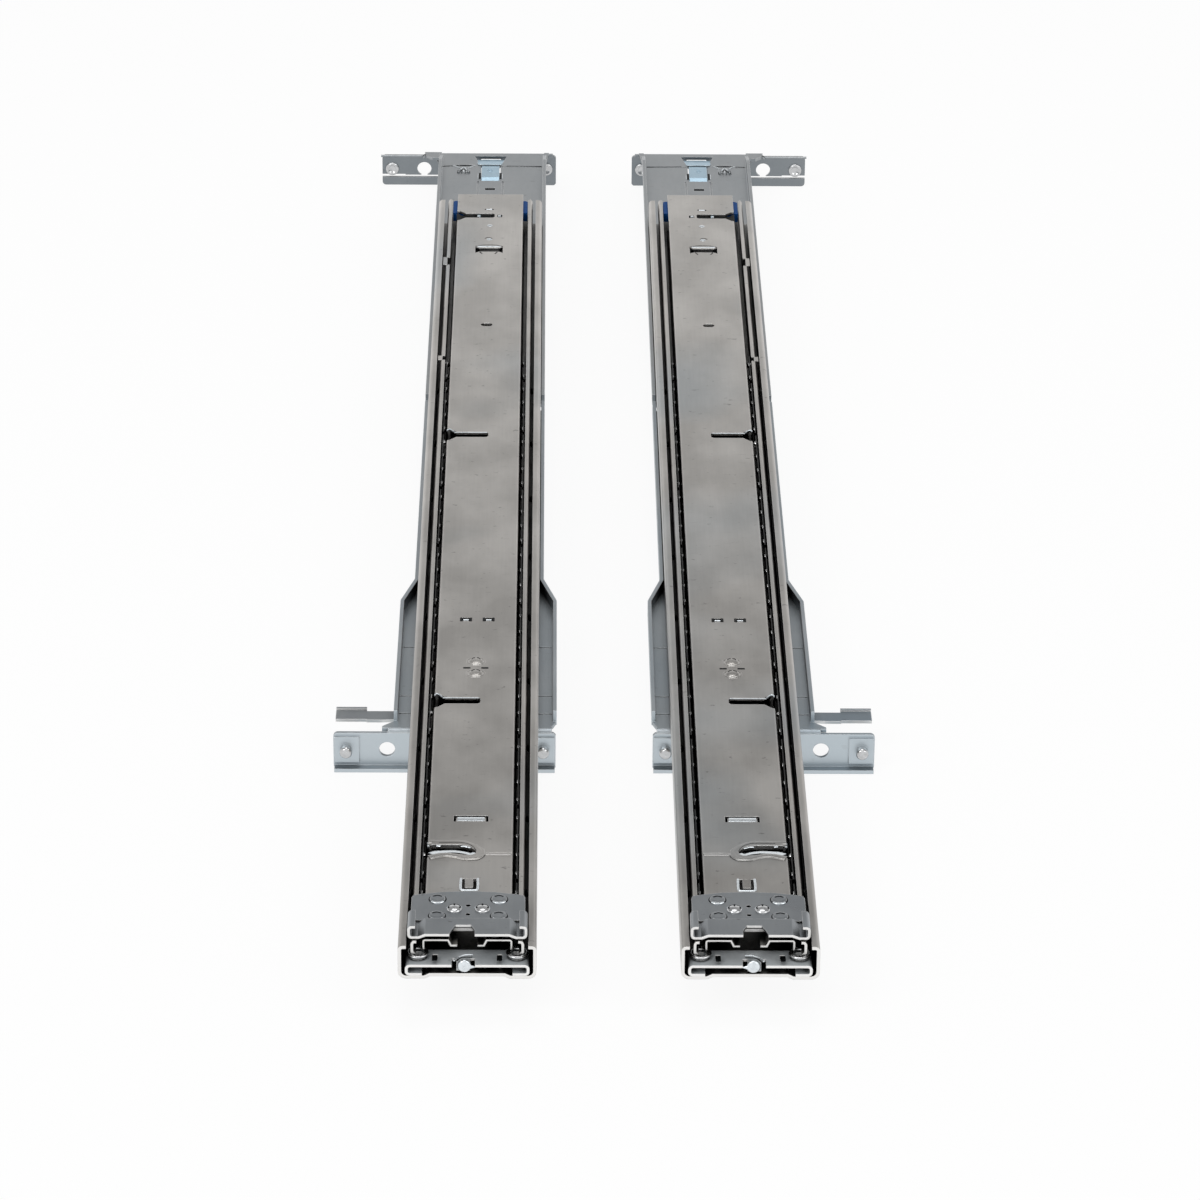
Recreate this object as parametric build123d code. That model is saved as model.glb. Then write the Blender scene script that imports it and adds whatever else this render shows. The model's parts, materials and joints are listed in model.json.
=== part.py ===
from build123d import *
import os

# A pair of sliding rack rails, in millimetres, as they lie side by side with their outer sides down.
# X is across the pair, Y runs from the rack's rear posts to its front posts, and Z is up.
# One rail is drawn about its own centre line, with its outward edge towards -X and Y counted forwards
# from a datum just behind the rear mounting face. The other rail is its mirror image.

# Rack
rack_depth = 624.0
rear_face = 3.0
pin_spacing = 76.2
screw_offset = 15.875
rail_spacing = 100.0

# Rack flanges
flange_length = 86.0
flange_offset = 11.8
flange_sheet = 1.5
flange_bend = 2.6
flange_corner = 1.8
pin_height = 8.5
pin_radius = 2.4
pin_reach = 3.4
pin_shank_radius = 1.9
pin_head_radius = 3.4
pin_head_height = 1.0
screw_hole_radius = 3.1
front_hole_radius = 3.5
pad_width = 10.2
pad_height = 11.0
pad_raise = 0.8
rear_lip_reach = 3.3
slit_low = 4.1
slit_height = 1.2
slit_wide_height = 1.6
slit_wide_length = 11.4

# Bracket channels
floor_top = 17.0
bracket_sheet = 1.5
bracket_wall_height = 6.1
bracket_corner = 1.9
wall_gap = 0.3
slide_gap = 0.3
front_bracket_length = 310.7
wall_slope_length = 18.0
bracket_end_gap = 6.3
tray_half_width = 31.6
tray_front = 109.0
flare_length = 20.0
tray_wall_start = 11.0
gusset_reach = 36.0
floor_line_width = 0.9
floor_line_depth = 0.35
floor_line_stations = (17.2, 32.3, 75.3)
bracket_travel = 250.0

# Outer member
outer_length = 716.6
outer_overhang = 188.3
outer_half_width = 24.5
outer_height = 13.2
outer_sheet = 1.2
outer_lip = 2.95
web_raise = 1.0
raised_half_width = 13.0
raise_slope = 2.0

# Middle member
middle_sheet = 1.0
middle_half_width = 20.1
middle_lip = 2.1
middle_flank_step = 0.9
middle_web_gap = 1.1
middle_top_drop = 0.4
middle_rear_inset = 4.3
middle_front_reach = 2.0
middle_notch_length = 7.5
middle_notch_height = 3.1
lip_tab_length = 9.0
lip_tab_shift = 1.0

# Inner member
inner_sheet = 1.2
inner_half_width = 15.9
inner_rise = 0.3
inner_groove = 0.7
inner_foot_gap = 1.2
inner_rear_inset = 12.3
inner_front_reach = 6.5
inner_flank_trim = 31.8

# Balls and cages
ball_radius = 1.6
ball_clearance = 0.3
cage_sheet = 0.5
cage_clearance = 0.14
cage_length = 510.0
cage_inset = 22.3
balls_per_row = 9
outer_cage_height = 5.2
inner_cage_height = 4.4
outer_ball_height = 5.2

# Drop-in slots
slot_width = 5.4
slot_reach = 18.1
slot_mouth = 11.6
slot_mouth_depth = 4.4
front_slot_setback = 27.4
later_slot_stations = (253.0, 1.7)
slot_rim_height = 0.45
ramp_drop = 0.35

# Travel stops and sockets at the rear end
socket_sheet = 1.0
socket_half_width = 22.0
socket_height = 4.4
socket_length = 10.8
socket_foot = 6.0
socket_notch = 8.2
socket_notch_depth = 4.6
socket_rivet_inset = 6.2
plate_sheet = 1.2
plate_half_width = 20.3
plate_front = -151.2
plate_rear = -183.2
plate_arch = 2.5
plate_step_station = -172.4
hook_half_width = 21.2
hook_height = 5.15
hook_lip = 2.8
hook_clearance = 0.35
web_step = 0.65
dimple_radius = 2.8
dimple_height = 0.45
plate_rivet_radius = 2.6
clip_sheet = 0.7
clip_half_width = 15.9
clip_inner = 4.6
clip_drop = 4.1
clip_length = 5.6
clip_tab_length = 12.0

# Rivets and studs
rivet_radius = 2.0
rivet_seat_radius = 5.0
rivet_head_radius = 3.6
rivet_head_height = 0.7
socket_rivet_x = 17.6
socket_rivet_radius = 1.5
socket_hole_radius = 2.5
guide_stud_radius = 2.7
guide_head_radius = 5.0
guide_head_height = 1.2
guide_slot_gap = 0.3
guide_stations = (18.0, 50.0)
thin_post_radius = 2.45
thin_post_flats = 8
wide_post_flats = 12

# Latches
latch_sheet = 1.0
latch_centre = -0.9
latch_width = 8.8
latch_head_width = 14.8
latch_gap = 0.5
latch_root_setback = 50.5
release_width = 17.7
release_setback = 20.3
release_length = 15.5
release_thickness = 2.0
release_rail_width = 9.2
release_drop = 4.2
release_travel = 4.0
release_stem_half = 5.0
release_stem_setback = 66.6
release_stud_setback = 57.6
release_stud_radius = 2.0
lock_spring_sheet = 0.8
lock_spring_width = 8.0
lock_spring_setback = 40.1
lock_finger_x = -5.3
web_shank_radius = 1.2
lever_sheet = 1.2
lever_pivot = (-20.0, 24.0)
paddle_length = 12.0
paddle_rear = 16.3
paddle_front = 25.4
lock_lever_setback = 110.3
stop_window_setback = 70.6

# Heights and places that follow from the sizes above
front_face = rear_face + rack_depth
lip_top = floor_top + outer_height
outer_web_top = floor_top + web_raise + outer_sheet
outer_channel_top = floor_top + outer_sheet
middle_bottom = outer_web_top + middle_web_gap
middle_top = lip_top - middle_top_drop
middle_web_top = middle_bottom + middle_sheet
inner_top = lip_top + inner_rise
inner_web_under = inner_top - inner_sheet
outer_rear = -outer_overhang
outer_front = outer_rear + outer_length
floor_under = floor_top - bracket_sheet
sliding_floor_top = floor_top - slide_gap
sliding_floor_under = sliding_floor_top - bracket_sheet
wall_inside = outer_half_width + wall_gap
wall_outside = wall_inside + bracket_sheet
outer_pin_x = -flange_offset - pin_spacing / 2
inner_pin_x = -flange_offset + pin_spacing / 2
screw_x = outer_pin_x + screw_offset
flange_low_x = -flange_offset - flange_length / 2
flange_high_x = -flange_offset + flange_length / 2
outer_ball_x = outer_half_width - outer_sheet - ball_clearance - ball_radius
outer_ball_z = outer_channel_top + outer_ball_height
inner_ball_x = middle_half_width - middle_sheet - ball_clearance - ball_radius
inner_ball_z = middle_top - middle_sheet - ball_clearance - ball_radius
inner_rear = outer_rear + inner_rear_inset
inner_front = outer_front + inner_front_reach
middle_rear = outer_rear + middle_rear_inset
middle_front = outer_front + middle_front_reach
front_bracket_rear = front_face - front_bracket_length
rear_bracket_end = front_bracket_rear - bracket_end_gap
cage_rear = outer_rear + cage_inset
slot_stations = (inner_front - front_slot_setback,) + later_slot_stations
latch_root = front_face - latch_root_setback
release_rear = inner_front - release_setback
release_stem_rear = inner_front - release_stem_setback
release_stud_y = inner_front - release_stud_setback
lock_spring_y = inner_front - lock_spring_setback
lock_lever_pivot_y = middle_front - lock_lever_setback
stop_window_y = inner_front - stop_window_setback
lever_top = sliding_floor_under - latch_gap
lever_low = lever_top - lever_sheet
spring_top = inner_web_under - 0.4
spring_low = spring_top - lock_spring_sheet
release_low = inner_web_under - ball_clearance - release_drop
centre_y = (outer_rear + front_face + pin_reach) / 2


def block(x_range, y_range, z_range):
    """A box between two corners."""
    size = [high - low for low, high in (x_range, y_range, z_range)]
    corner = Pos(x_range[0], y_range[0], z_range[0])
    return corner * Box(*size, align=(Align.MIN, Align.MIN, Align.MIN))


def plate(points, low, thickness):
    """A flat plate from its outline seen from above."""
    outline = make_face(Polyline(*points, close=True))
    return Pos(0, 0, low) * extrude(outline, amount=thickness, dir=(0, 0, 1))


def side_plate(points, x_low, x_high):
    """A plate from its outline in Y and Z, between two places across the rail."""
    outline = make_face(Polyline(*points, close=True))
    return Pos(x_low, 0, 0) * extrude(Plane.YZ * outline, amount=x_high - x_low, dir=(1, 0, 0))


def post(x, y, low, high, radius, taper=0.0):
    """A small upright post, drawn with flats."""
    flats = thin_post_flats if radius < thin_post_radius else wide_post_flats
    return Pos(x, y, low) * extrude(RegularPolygon(radius, flats), amount=high - low, taper=taper)


def cross_bar(x, z, y_low, y_high, radius):
    """A round bar that lies along Y."""
    bar = Cylinder(radius, y_high - y_low, align=(Align.CENTER, Align.CENTER, Align.MIN))
    return Pos(x, y_low, z) * Rot(-90, 0, 0) * bar


def cross_post(x, z, y_low, y_high, radius):
    """A small bar along Y, drawn with flats."""
    return Pos(x, y_low, z) * Rot(-90, 0, 0) * post(0, 0, 0, y_high - y_low, radius)


def folded_face(path_points, radii, thickness, skin_side):
    """A folded sheet's section, from the corners of one skin."""
    skin = FilletPolyline(*path_points, radius=radii)
    strip = offset(Wire(skin.edges()), amount=thickness, side=skin_side, kind=Kind.INTERSECTION)
    return make_face(strip.edges())


def fold_along(half_points, radii, thickness, skin_side, y_low, y_high):
    """A symmetrical channel between two stations, from the right half of one skin in X and Z."""
    left_points = [(-x, z) for x, z in reversed(half_points)]
    section = folded_face([*left_points, *half_points], [*reversed(radii), *radii], thickness, skin_side)
    return Pos(0, y_low, 0) * extrude(Plane.XZ * section, amount=y_high - y_low, dir=(0, 1, 0))


def side_strip(points, radii, thickness, skin_side, x_low, x_high):
    """A strip of sheet folded along Y and Z, between two places across the rail."""
    face = folded_face(points, radii, thickness, skin_side)
    return Pos(x_low, 0, 0) * extrude(Plane.YZ * face, amount=x_high - x_low, dir=(1, 0, 0))


def sorted_pair(first, second):
    """Two numbers as a range."""
    return (min(first, second), max(first, second))


def rack_flange(y_outside, toward_rear, hole_radius):
    """An upright rack flange with its screw hole."""
    direction = 1 if toward_rear else -1
    y_range = sorted_pair(y_outside, y_outside + direction * flange_sheet)
    flange = block((flange_low_x, flange_high_x), y_range, (0, floor_under))
    ear_corners = flange.edges().filter_by(Axis.Y).group_by(Axis.X)[0]
    flange = fillet(ear_corners, flange_corner)
    inward_corners = flange.edges().filter_by(Axis.Y).group_by(Axis.X)[-1]
    flange = chamfer(inward_corners, flange_corner / 2)
    return flange - cross_bar(screw_x, pin_height, y_range[0] - 1, y_range[1] + 1, hole_radius)


def pin_seats(y_low, y_high):
    """Cutters for the pins' shanks through a flange."""
    return [cross_post(x, pin_height, y_low, y_high, pin_shank_radius) for x in (outer_pin_x, inner_pin_x)]


def flange_bend_strip(y_outside, direction, x_low, x_high, top):
    """The bend between floor and flange."""
    start = (y_outside - direction * (flange_bend + 1.0), top)
    corner = (y_outside, top)
    end = (y_outside, top - flange_bend - 1.0)
    points = [start, corner, end] if direction > 0 else [end, corner, start]
    return side_strip(points, [flange_bend], bracket_sheet, Side.RIGHT, x_low, x_high)


def floor_line(x_low, x_high, y, top):
    """A cutter for a shallow press line across a floor."""
    half = floor_line_width / 2
    return block((x_low, x_high), (y - half, y + half), (top - floor_line_depth, top + 1))


def front_bracket():
    """Front channel with its flange, the latch window and the lower leg of the outward ear."""
    floor_end = front_face - flange_bend
    wall_top = floor_under + bracket_wall_height
    half_points = [(wall_outside, floor_under), (wall_outside, wall_top)]
    y_range = (front_bracket_rear, floor_end - 0.5)
    bracket = fold_along(half_points, [bracket_corner], bracket_sheet, Side.LEFT, *y_range)
    slope_start = floor_end - 2 - wall_slope_length
    above_wall = [
        (slope_start, wall_top + 0.1),
        (floor_end - 2, floor_top + 0.05),
        (front_face, floor_top + 0.05),
        (front_face, wall_top + 1),
        (slope_start, wall_top + 1),
    ]
    bracket -= side_plate(above_wall, -wall_outside - 1, wall_outside + 1)
    bracket += flange_bend_strip(front_face, 1, -wall_outside, flange_high_x - 1.5, floor_top)
    bracket += outward_shoulder()
    bracket += inward_gusset(slope_start)
    bracket += rack_flange(front_face, False, front_hole_radius)
    bracket -= ear_slit()
    bracket -= front_latch_window()
    bracket -= pin_seats(front_face - flange_sheet - 1, front_face + 1)
    for low, high in ((-24.6, -19.6), (4.6, 24.4)):
        bracket -= floor_line(low, high, front_face - 20.4, floor_top)
    for x in (-6.8, 5.3):
        half = floor_line_width / 2
        line_y = (front_face - 99.0, front_face - 40.0)
        bracket -= block((x - half, x + half), line_y, (floor_top - floor_line_depth, floor_top + 1))
    flare_slot_y = (front_face - 20.2, front_face - 18.1)
    bracket -= block((-18.6, -8.6), flare_slot_y, (floor_under - 1, floor_top + 1))
    bracket += post(-13.8, front_face - 25.0, floor_top - 0.2, floor_top + 0.9, 3.2, 40.0)
    for y in rivet_stations():
        bracket += post(0, y, floor_top - 0.1, floor_top + web_raise, rivet_seat_radius)
        bracket -= post(0, y, floor_under - 1, floor_top + web_raise + 1, rivet_radius)
    return bracket


def outward_shoulder():
    """Rounded shoulder between the outward wall and the ear's top edge."""
    x = -wall_outside
    y = front_face - 0.1
    outline = [(x + 1, y - 8.0), (x - 3.6, y - 7.2), (x - 6.6, y - 4.4), (x - 7.4, y), (x + 1, y)]
    return plate(outline, floor_under - 0.2, bracket_sheet)


def inward_gusset(slope_start):
    """Wedge between the inward wall and the flange's top edge."""
    x = wall_outside
    y = front_face - 1.2
    return plate([(x - 1, slope_start), (x + 1.4, y), (x - 1, y)], floor_under, bracket_sheet)


def ear_slit():
    """The slit that parts the outward ear's face from its lower leg."""
    y_range = (front_face - flange_sheet - 1, front_face + 1)
    narrow = block((flange_low_x - 1, -wall_outside - 0.5), y_range, (slit_low, slit_low + slit_height))
    wide_end = flange_low_x + slit_wide_length
    return narrow + block((flange_low_x - 1, wide_end), y_range, (slit_low, slit_low + slit_wide_height))


def front_latch_window():
    """Openings for the front latch in the floor and through the flange, and the slot for its root."""
    half = latch_width / 2 + latch_gap
    head = latch_head_width / 2 + latch_gap
    outline = [
        (latch_centre - half, front_face - 39.5),
        (latch_centre + half, front_face - 39.5),
        (latch_centre + half, front_face - 20.0),
        (latch_centre + head, front_face - 6.0),
        (latch_centre - head, front_face - 6.0),
        (latch_centre - half, front_face - 20.0),
    ]
    floor_opening = plate(outline, floor_under - 1, bracket_sheet + 2)
    nose_y = (front_face - flange_bend - 2, front_face + 1)
    nose_opening = block((latch_centre - half, latch_centre + half), nose_y, (4.6, floor_top - 2.9))
    root_x = (latch_centre - 2.4, latch_centre + 2.4)
    root = block(root_x, (latch_root - 1.3, latch_root + 1.3), (floor_under - 1, floor_top + 1))
    return floor_opening + nose_opening + root


def rack_pins(y_face, outward, y_back):
    """Two locating pins through a flange, with their riveted heads behind it."""
    pins = []
    tip = y_face + outward * pin_reach
    head_end = y_back - outward * pin_head_height
    for x in (outer_pin_x, inner_pin_x):
        pin = cross_bar(x, pin_height, *sorted_pair(y_face, tip), pin_radius)
        pin += cross_post(x, pin_height, *sorted_pair(y_face, y_back), pin_shank_radius)
        pin += cross_post(x, pin_height, *sorted_pair(y_back, head_end), pin_head_radius)
        pins.append(pin)
    return pins


def front_pins():
    """Pins of the front flange, with their heads on the flange's rear face."""
    return rack_pins(front_face, 1, front_face - flange_sheet)


def rear_pins():
    """Pins of the rear flange, standing out of its raised square pads."""
    return rack_pins(rear_face - pad_raise, -1, rear_face + flange_sheet)


def outer_member():
    """The outer slide channel, with its raised web and inward lips."""
    half_points = [
        (raised_half_width, floor_top + web_raise),
        (raised_half_width + raise_slope, floor_top),
        (outer_half_width, floor_top),
        (outer_half_width, lip_top),
        (outer_half_width - outer_lip, lip_top),
    ]
    channel = fold_along(half_points, [0, 0, 3.0, 1.8], outer_sheet, Side.LEFT, outer_rear, outer_front)
    for y in rivet_stations():
        channel -= post(0, y, floor_top, outer_web_top + 1, rivet_radius)
    for x in (-socket_rivet_x, socket_rivet_x):
        channel -= post(x, socket_rivet_y(), floor_top - 1, outer_channel_top + 1, socket_rivet_radius)
    return channel


def rivet_stations():
    """Where the front bracket's rivets hold the outer member."""
    first = front_bracket_rear + 22.0
    last = outer_front - 26.0
    return [first, (first + last) / 2, last]


def socket_rivet_y():
    """Station of the outer end socket's rivets."""
    return outer_rear + socket_rivet_inset


def bracket_rivets():
    """Rivets through the bracket's raised seats and the outer member's web."""
    rivets = []
    for y in rivet_stations():
        rivet = post(0, y, floor_under, outer_web_top, rivet_radius)
        rivets.append(rivet + post(0, y, outer_web_top, outer_web_top + rivet_head_height, rivet_head_radius))
    return rivets


def guide_studs():
    """Headed studs under the outer member that run in the rear bracket's slot."""
    studs = []
    for y in guide_stations:
        head_top = sliding_floor_under - slide_gap
        stud = post(0, y, head_top, floor_top + web_raise, guide_stud_radius)
        studs.append(stud + post(0, y, head_top - guide_head_height, head_top, guide_head_radius))
    return studs


def outer_end_socket():
    """Folded bracket in the outer member's rear end, open towards the rear, for a cable arm's fixed end."""
    bottom = outer_channel_top
    top = bottom + socket_height
    foot_end = socket_half_width - socket_foot
    half_points = [(socket_half_width, top), (socket_half_width, bottom), (foot_end, bottom)]
    rear = outer_rear
    socket = fold_along(half_points, [1.8, 1.6], socket_sheet, Side.RIGHT, rear, rear + socket_length)
    notch = (-1.4 - socket_notch / 2, -1.4 + socket_notch / 2)
    socket -= block(notch, (rear - 1, rear + socket_notch_depth), (top - socket_sheet - 1, top + 1))
    tongue = [(rear + 0.6, top - 2.6), (rear + 2.2, top), (rear + socket_notch_depth + 1.0, top)]
    socket += side_strip(tongue, [1.6], socket_sheet, Side.RIGHT, notch[0] + 1.7, notch[1] - 1.7)
    for side in (-1, 1):
        x = side * socket_rivet_x
        socket += post(x, socket_rivet_y(), top - 0.1, top + 0.6, socket_hole_radius + 0.6)
        socket -= post(x, socket_rivet_y(), top - socket_sheet - 1, top + 1, socket_hole_radius)
        socket -= post(x, socket_rivet_y(), bottom - 1, bottom + socket_sheet + 1, socket_rivet_radius)
        window = side * 11.4
        socket -= block((window - 0.9, window + 0.9), (rear + 4.4, rear + 7.4), (top - 2, top + 1))
    return socket


def outer_socket_rivets():
    """Rivets that hold the socket's feet on the outer member's channel floor."""
    rivets = []
    foot_top = outer_channel_top + socket_sheet
    for side in (-1, 1):
        x = side * socket_rivet_x
        rivet = post(x, socket_rivet_y(), floor_top, foot_top, socket_rivet_radius)
        rivets.append(rivet + post(x, socket_rivet_y(), foot_top, foot_top + 1.1, socket_hole_radius - 0.3))
    return rivets


def front_latch():
    """Sprung latch: a root tab in the floor's slot, a crowned tongue, a wide head and a hooked nose."""
    under = floor_under - latch_gap
    root_x = (latch_centre - 2.0, latch_centre + 2.0)
    root_y = (latch_root - 0.5, latch_root + 0.5)
    root_tab = block(root_x, root_y, (under - latch_sheet, floor_top - 0.3))
    profile = [
        (latch_root - 3.5, under),
        (front_face - 39.0, under),
        (front_face - 35.5, floor_top + 0.4),
        (front_face - 23.0, floor_top + 0.6),
        (front_face - 17.5, floor_top - 0.4),
        (front_face - 7.5, floor_top - 4.6),
        (front_face + 1.2, floor_top - 4.6),
        (front_face + 2.6, floor_top - 8.0),
    ]
    half = latch_width / 2
    head = latch_head_width / 2
    head_x = (latch_centre - head, latch_centre + head)
    whole = side_strip(profile, [0] * 6, latch_sheet, Side.RIGHT, *head_x)
    tongue = block((latch_centre - half, latch_centre + half), (latch_root - 4, front_face + 4), (0, lip_top))
    wings = [
        (latch_centre - half, front_face - 19.5),
        (latch_centre + half, front_face - 19.5),
        (latch_centre + head, front_face - 7.0),
        (latch_centre - head, front_face - 7.0),
    ]
    return (whole & (tongue + plate(wings, 0, lip_top))) + root_tab


def tray_wall(side):
    """One side wall of the rear bracket, narrow under the slide and flared round the tray."""
    path = [
        (side * wall_outside, rear_bracket_end),
        (side * wall_outside, tray_front + flare_length),
        (side * tray_half_width, tray_front),
        (side * tray_half_width, tray_wall_start),
    ]
    inward = Side.LEFT if side < 0 else Side.RIGHT
    wall = folded_face(path, [3.0, 3.0], bracket_sheet, inward)
    low = sliding_floor_under
    return Pos(0, 0, low) * extrude(wall, amount=bracket_wall_height, dir=(0, 0, 1))


def rear_bracket():
    """Telescoping tray with the rear flange, its lower lip, the raised pin pads and the guide slot."""
    under = sliding_floor_under
    top = sliding_floor_top
    flare_front = tray_front + flare_length
    floor_rear = rear_face + flange_bend - 0.4
    floor_outline = [
        (-wall_outside + 0.3, rear_bracket_end),
        (-wall_outside + 0.3, flare_front + 0.3),
        (-tray_half_width + 0.3, tray_front + 0.3),
        (-tray_half_width + 0.3, tray_wall_start),
        (-gusset_reach, floor_rear + 1.4),
        (-gusset_reach, floor_rear),
        (tray_half_width - 3.2, floor_rear),
        (tray_half_width - 1.4, floor_rear + 2.6),
        (tray_half_width - 0.3, tray_wall_start),
        (tray_half_width - 0.3, tray_front + 0.3),
        (wall_outside - 0.3, flare_front + 0.3),
        (wall_outside - 0.3, rear_bracket_end),
    ]
    bracket = plate(floor_outline, under, bracket_sheet) + tray_wall(-1) + tray_wall(1)
    bracket += flange_bend_strip(rear_face, -1, flange_low_x + 21.0, flange_high_x - 1.5, top)
    bracket += rack_flange(rear_face, True, screw_hole_radius)
    bracket += rear_flange_lip()
    for x in (outer_pin_x, inner_pin_x):
        half = pad_width / 2
        x_range = (max(x - half, flange_low_x + 0.4), min(x + half, flange_high_x - 0.4))
        z_range = (pin_height - pad_height / 2, pin_height + pad_height / 2)
        bracket += block(x_range, (rear_face - pad_raise, rear_face + 0.2), z_range)
    bracket -= pin_seats(rear_face - pad_raise - 1, rear_face + flange_sheet + 1)
    for y in floor_line_stations:
        bracket -= floor_line(-tray_half_width + 1.8, tray_half_width - 1.8, y, top)
    slot_half = guide_stud_radius + guide_slot_gap
    slot_start = guide_stations[0] - slot_half
    slot_end = guide_stations[-1] + bracket_travel + slot_half
    bracket -= block((-slot_half, slot_half), (slot_start, slot_end), (under - 1, top + 1))
    nose_y = (rear_face - 1, rear_face + flange_bend + 3)
    bracket -= block((-17.5, -7.0), nose_y, (lever_low - 0.6, under - 0.1))
    return bracket


def rear_flange_lip():
    """The lower lip of the rear flange, bent towards the rear."""
    inside = rear_face + flange_sheet
    points = [(rear_face - rear_lip_reach, 0), (inside, 0), (inside, flange_sheet + 2.0)]
    return side_strip(points, [1.8], flange_sheet, Side.LEFT, flange_low_x + 0.3, flange_high_x - 0.3)


def rear_lever():
    """Release lever under the tray: a nose through the flange, a neck and a finger paddle."""
    pivot_x, pivot_y = lever_pivot
    paddle_x = flange_low_x + 0.4
    neck_x = paddle_x + paddle_length
    outline = [
        (pivot_x + 6.0, pivot_y + 6.0),
        (pivot_x - 6.0, pivot_y + 6.0),
        (pivot_x - 12.0, paddle_front - 2.2),
        (neck_x, paddle_front - 2.2),
        (neck_x, paddle_front),
        (paddle_x, paddle_front),
        (paddle_x, paddle_rear),
        (neck_x, paddle_rear),
        (neck_x, paddle_rear - 0.5),
        (pivot_x - 16.0, paddle_rear - 0.5),
        (pivot_x - 6.0, paddle_rear + 0.5),
        (-14.2, rear_face + 6.0),
        (-14.2, rear_face - 1.2),
        (-15.6, rear_face - 1.2),
        (-15.6, rear_face - 2.4),
        (-11.6, rear_face - 3.2),
        (-10.4, rear_face + 5.0),
        (-9.4, rear_face + 12.0),
        (-9.4, pivot_y + 2.0),
    ]
    lever = plate(outline, lever_low, lever_sheet)
    lip_y = (paddle_front - lever_sheet, paddle_front)
    lever += block((paddle_x, neck_x), lip_y, (lever_low, lever_top + 0.7))
    return lever - post(pivot_x, pivot_y, lever_low - 1, lever_top + 1, 2.35)


def rear_lever_rivet():
    """Shoulder rivet that carries the release lever under the tray."""
    pivot_x, pivot_y = lever_pivot
    shank = post(pivot_x, pivot_y, lever_low - 0.3, sliding_floor_under, 2.2)
    return shank + post(pivot_x, pivot_y, lever_low - 1.3, lever_low - 0.3, 4.0)


def middle_member():
    """The middle slide channel, with a stepped flank, inward lips and its cut-away rear end."""
    lower_half = middle_half_width - middle_flank_step
    step_start = middle_bottom + 3.9
    half_points = [
        (lower_half, middle_bottom),
        (lower_half, step_start),
        (middle_half_width, step_start + 1.0),
        (middle_half_width, middle_top),
        (middle_half_width - middle_lip, middle_top),
    ]
    y_range = (middle_rear, middle_front)
    channel = fold_along(half_points, [1.6, 0, 0, 1.5], middle_sheet, Side.LEFT, *y_range)
    notch_top = middle_bottom + middle_notch_height
    channel -= block((-25, 25), (middle_rear - 1, middle_rear + middle_notch_length), (0, notch_top))
    channel -= post(0, lock_lever_pivot_y, middle_bottom - 1, middle_web_top + 1, 2.0)
    for side in (-1, 1):
        channel -= lip_corner(side, middle_half_width - middle_lip, 1)
        channel -= lip_corner(side, middle_half_width, -1)
    for y, length in ((middle_front - 78.3, lip_tab_length), (middle_front - 192.3, lip_tab_length / 2)):
        y_range = (y - length / 2, y + length / 2)
        lip_edge = -middle_half_width + middle_lip
        z_range = (middle_top - middle_sheet, middle_top)
        gap_z = (z_range[0] - 0.5, z_range[1] + 0.5)
        channel -= block((-middle_half_width + 0.8, lip_edge + 0.5), y_range, gap_z)
        tab_x = (-middle_half_width - lip_tab_shift, -middle_half_width + 0.9)
        channel += block(tab_x, y_range, z_range)
    return channel


def lip_corner(side, edge, inward):
    """Cutter that rounds off one corner at the front end of a middle member's lip."""
    x = side * edge
    step = side * inward
    far = middle_front
    outline = [(x - step, far - 1.2), (x, far - 1.2), (x + step * 1.0, far), (x + step, far + 1), (x - step, far + 1)]
    return plate(outline, middle_top - 1.6, 2.6)


def lock_lever():
    """Flat lever on the middle member that holds the slide when it is pulled out."""
    low = middle_web_top + 0.3
    y = lock_lever_pivot_y
    outline = [
        (5.0, y - 6.0),
        (5.0, y + 6.0),
        (-2.0, y + 26.0),
        (-9.0, y + 40.0),
        (-13.4, y + 40.0),
        (-13.4, y + 35.0),
        (-10.2, y + 35.0),
        (-5.0, y + 22.0),
        (-5.0, y - 6.0),
    ]
    return plate(outline, low, lever_sheet) - post(0, y, low - 1, low + 3, 2.15)


def lock_lever_rivet():
    """Shoulder rivet of the lock lever."""
    shoulder = middle_web_top + 0.3 + lever_sheet + 0.3
    shank = post(0, lock_lever_pivot_y, middle_bottom, shoulder, 2.0)
    return shank + post(0, lock_lever_pivot_y, shoulder, shoulder + 0.8, 3.4)


def drop_in_cutter(y):
    """A straight drop-in slot, open through the outward flank, with its wider mouth."""
    edge = -inner_half_width - 1
    slot_end = -inner_half_width + slot_reach
    half = slot_width / 2
    straight = [
        (edge, y - half),
        (slot_end - 1.0, y - half),
        (slot_end, y - half + 1.0),
        (slot_end, y + half - 1.0),
        (slot_end - 1.0, y + half),
        (edge, y + half),
    ]
    mouth = [
        (edge, y - slot_mouth / 2),
        (-inner_half_width + 1.6, y - slot_mouth / 2),
        (-inner_half_width + slot_mouth_depth, y - half),
        (-inner_half_width + slot_mouth_depth, y + half),
        (-inner_half_width + 1.6, y + slot_mouth / 2),
        (edge, y + slot_mouth / 2),
    ]
    low = middle_web_top
    return plate(straight, inner_web_under - 1, inner_sheet + 2) + plate(mouth, low, inner_top - low + 1)


# The rear drop-in slot's opening and its raised rim, seen from above
hook_slot_outline = [
    (-14.2, -115.0),
    (-3.5, -115.0),
    (0.2, -116.4),
    (2.3, -119.0),
    (2.2, -121.4),
    (0.6, -122.8),
    (-1.8, -122.7),
    (-8.6, -121.3),
    (-14.2, -122.6),
]
hook_rim_outline = [
    (-14.2, -112.8),
    (-3.0, -113.0),
    (2.4, -115.0),
    (5.2, -118.6),
    (5.4, -122.6),
    (2.6, -125.4),
    (-1.7, -126.0),
    (-4.6, -124.2),
    (-8.6, -123.2),
    (-14.2, -125.2),
]


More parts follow.
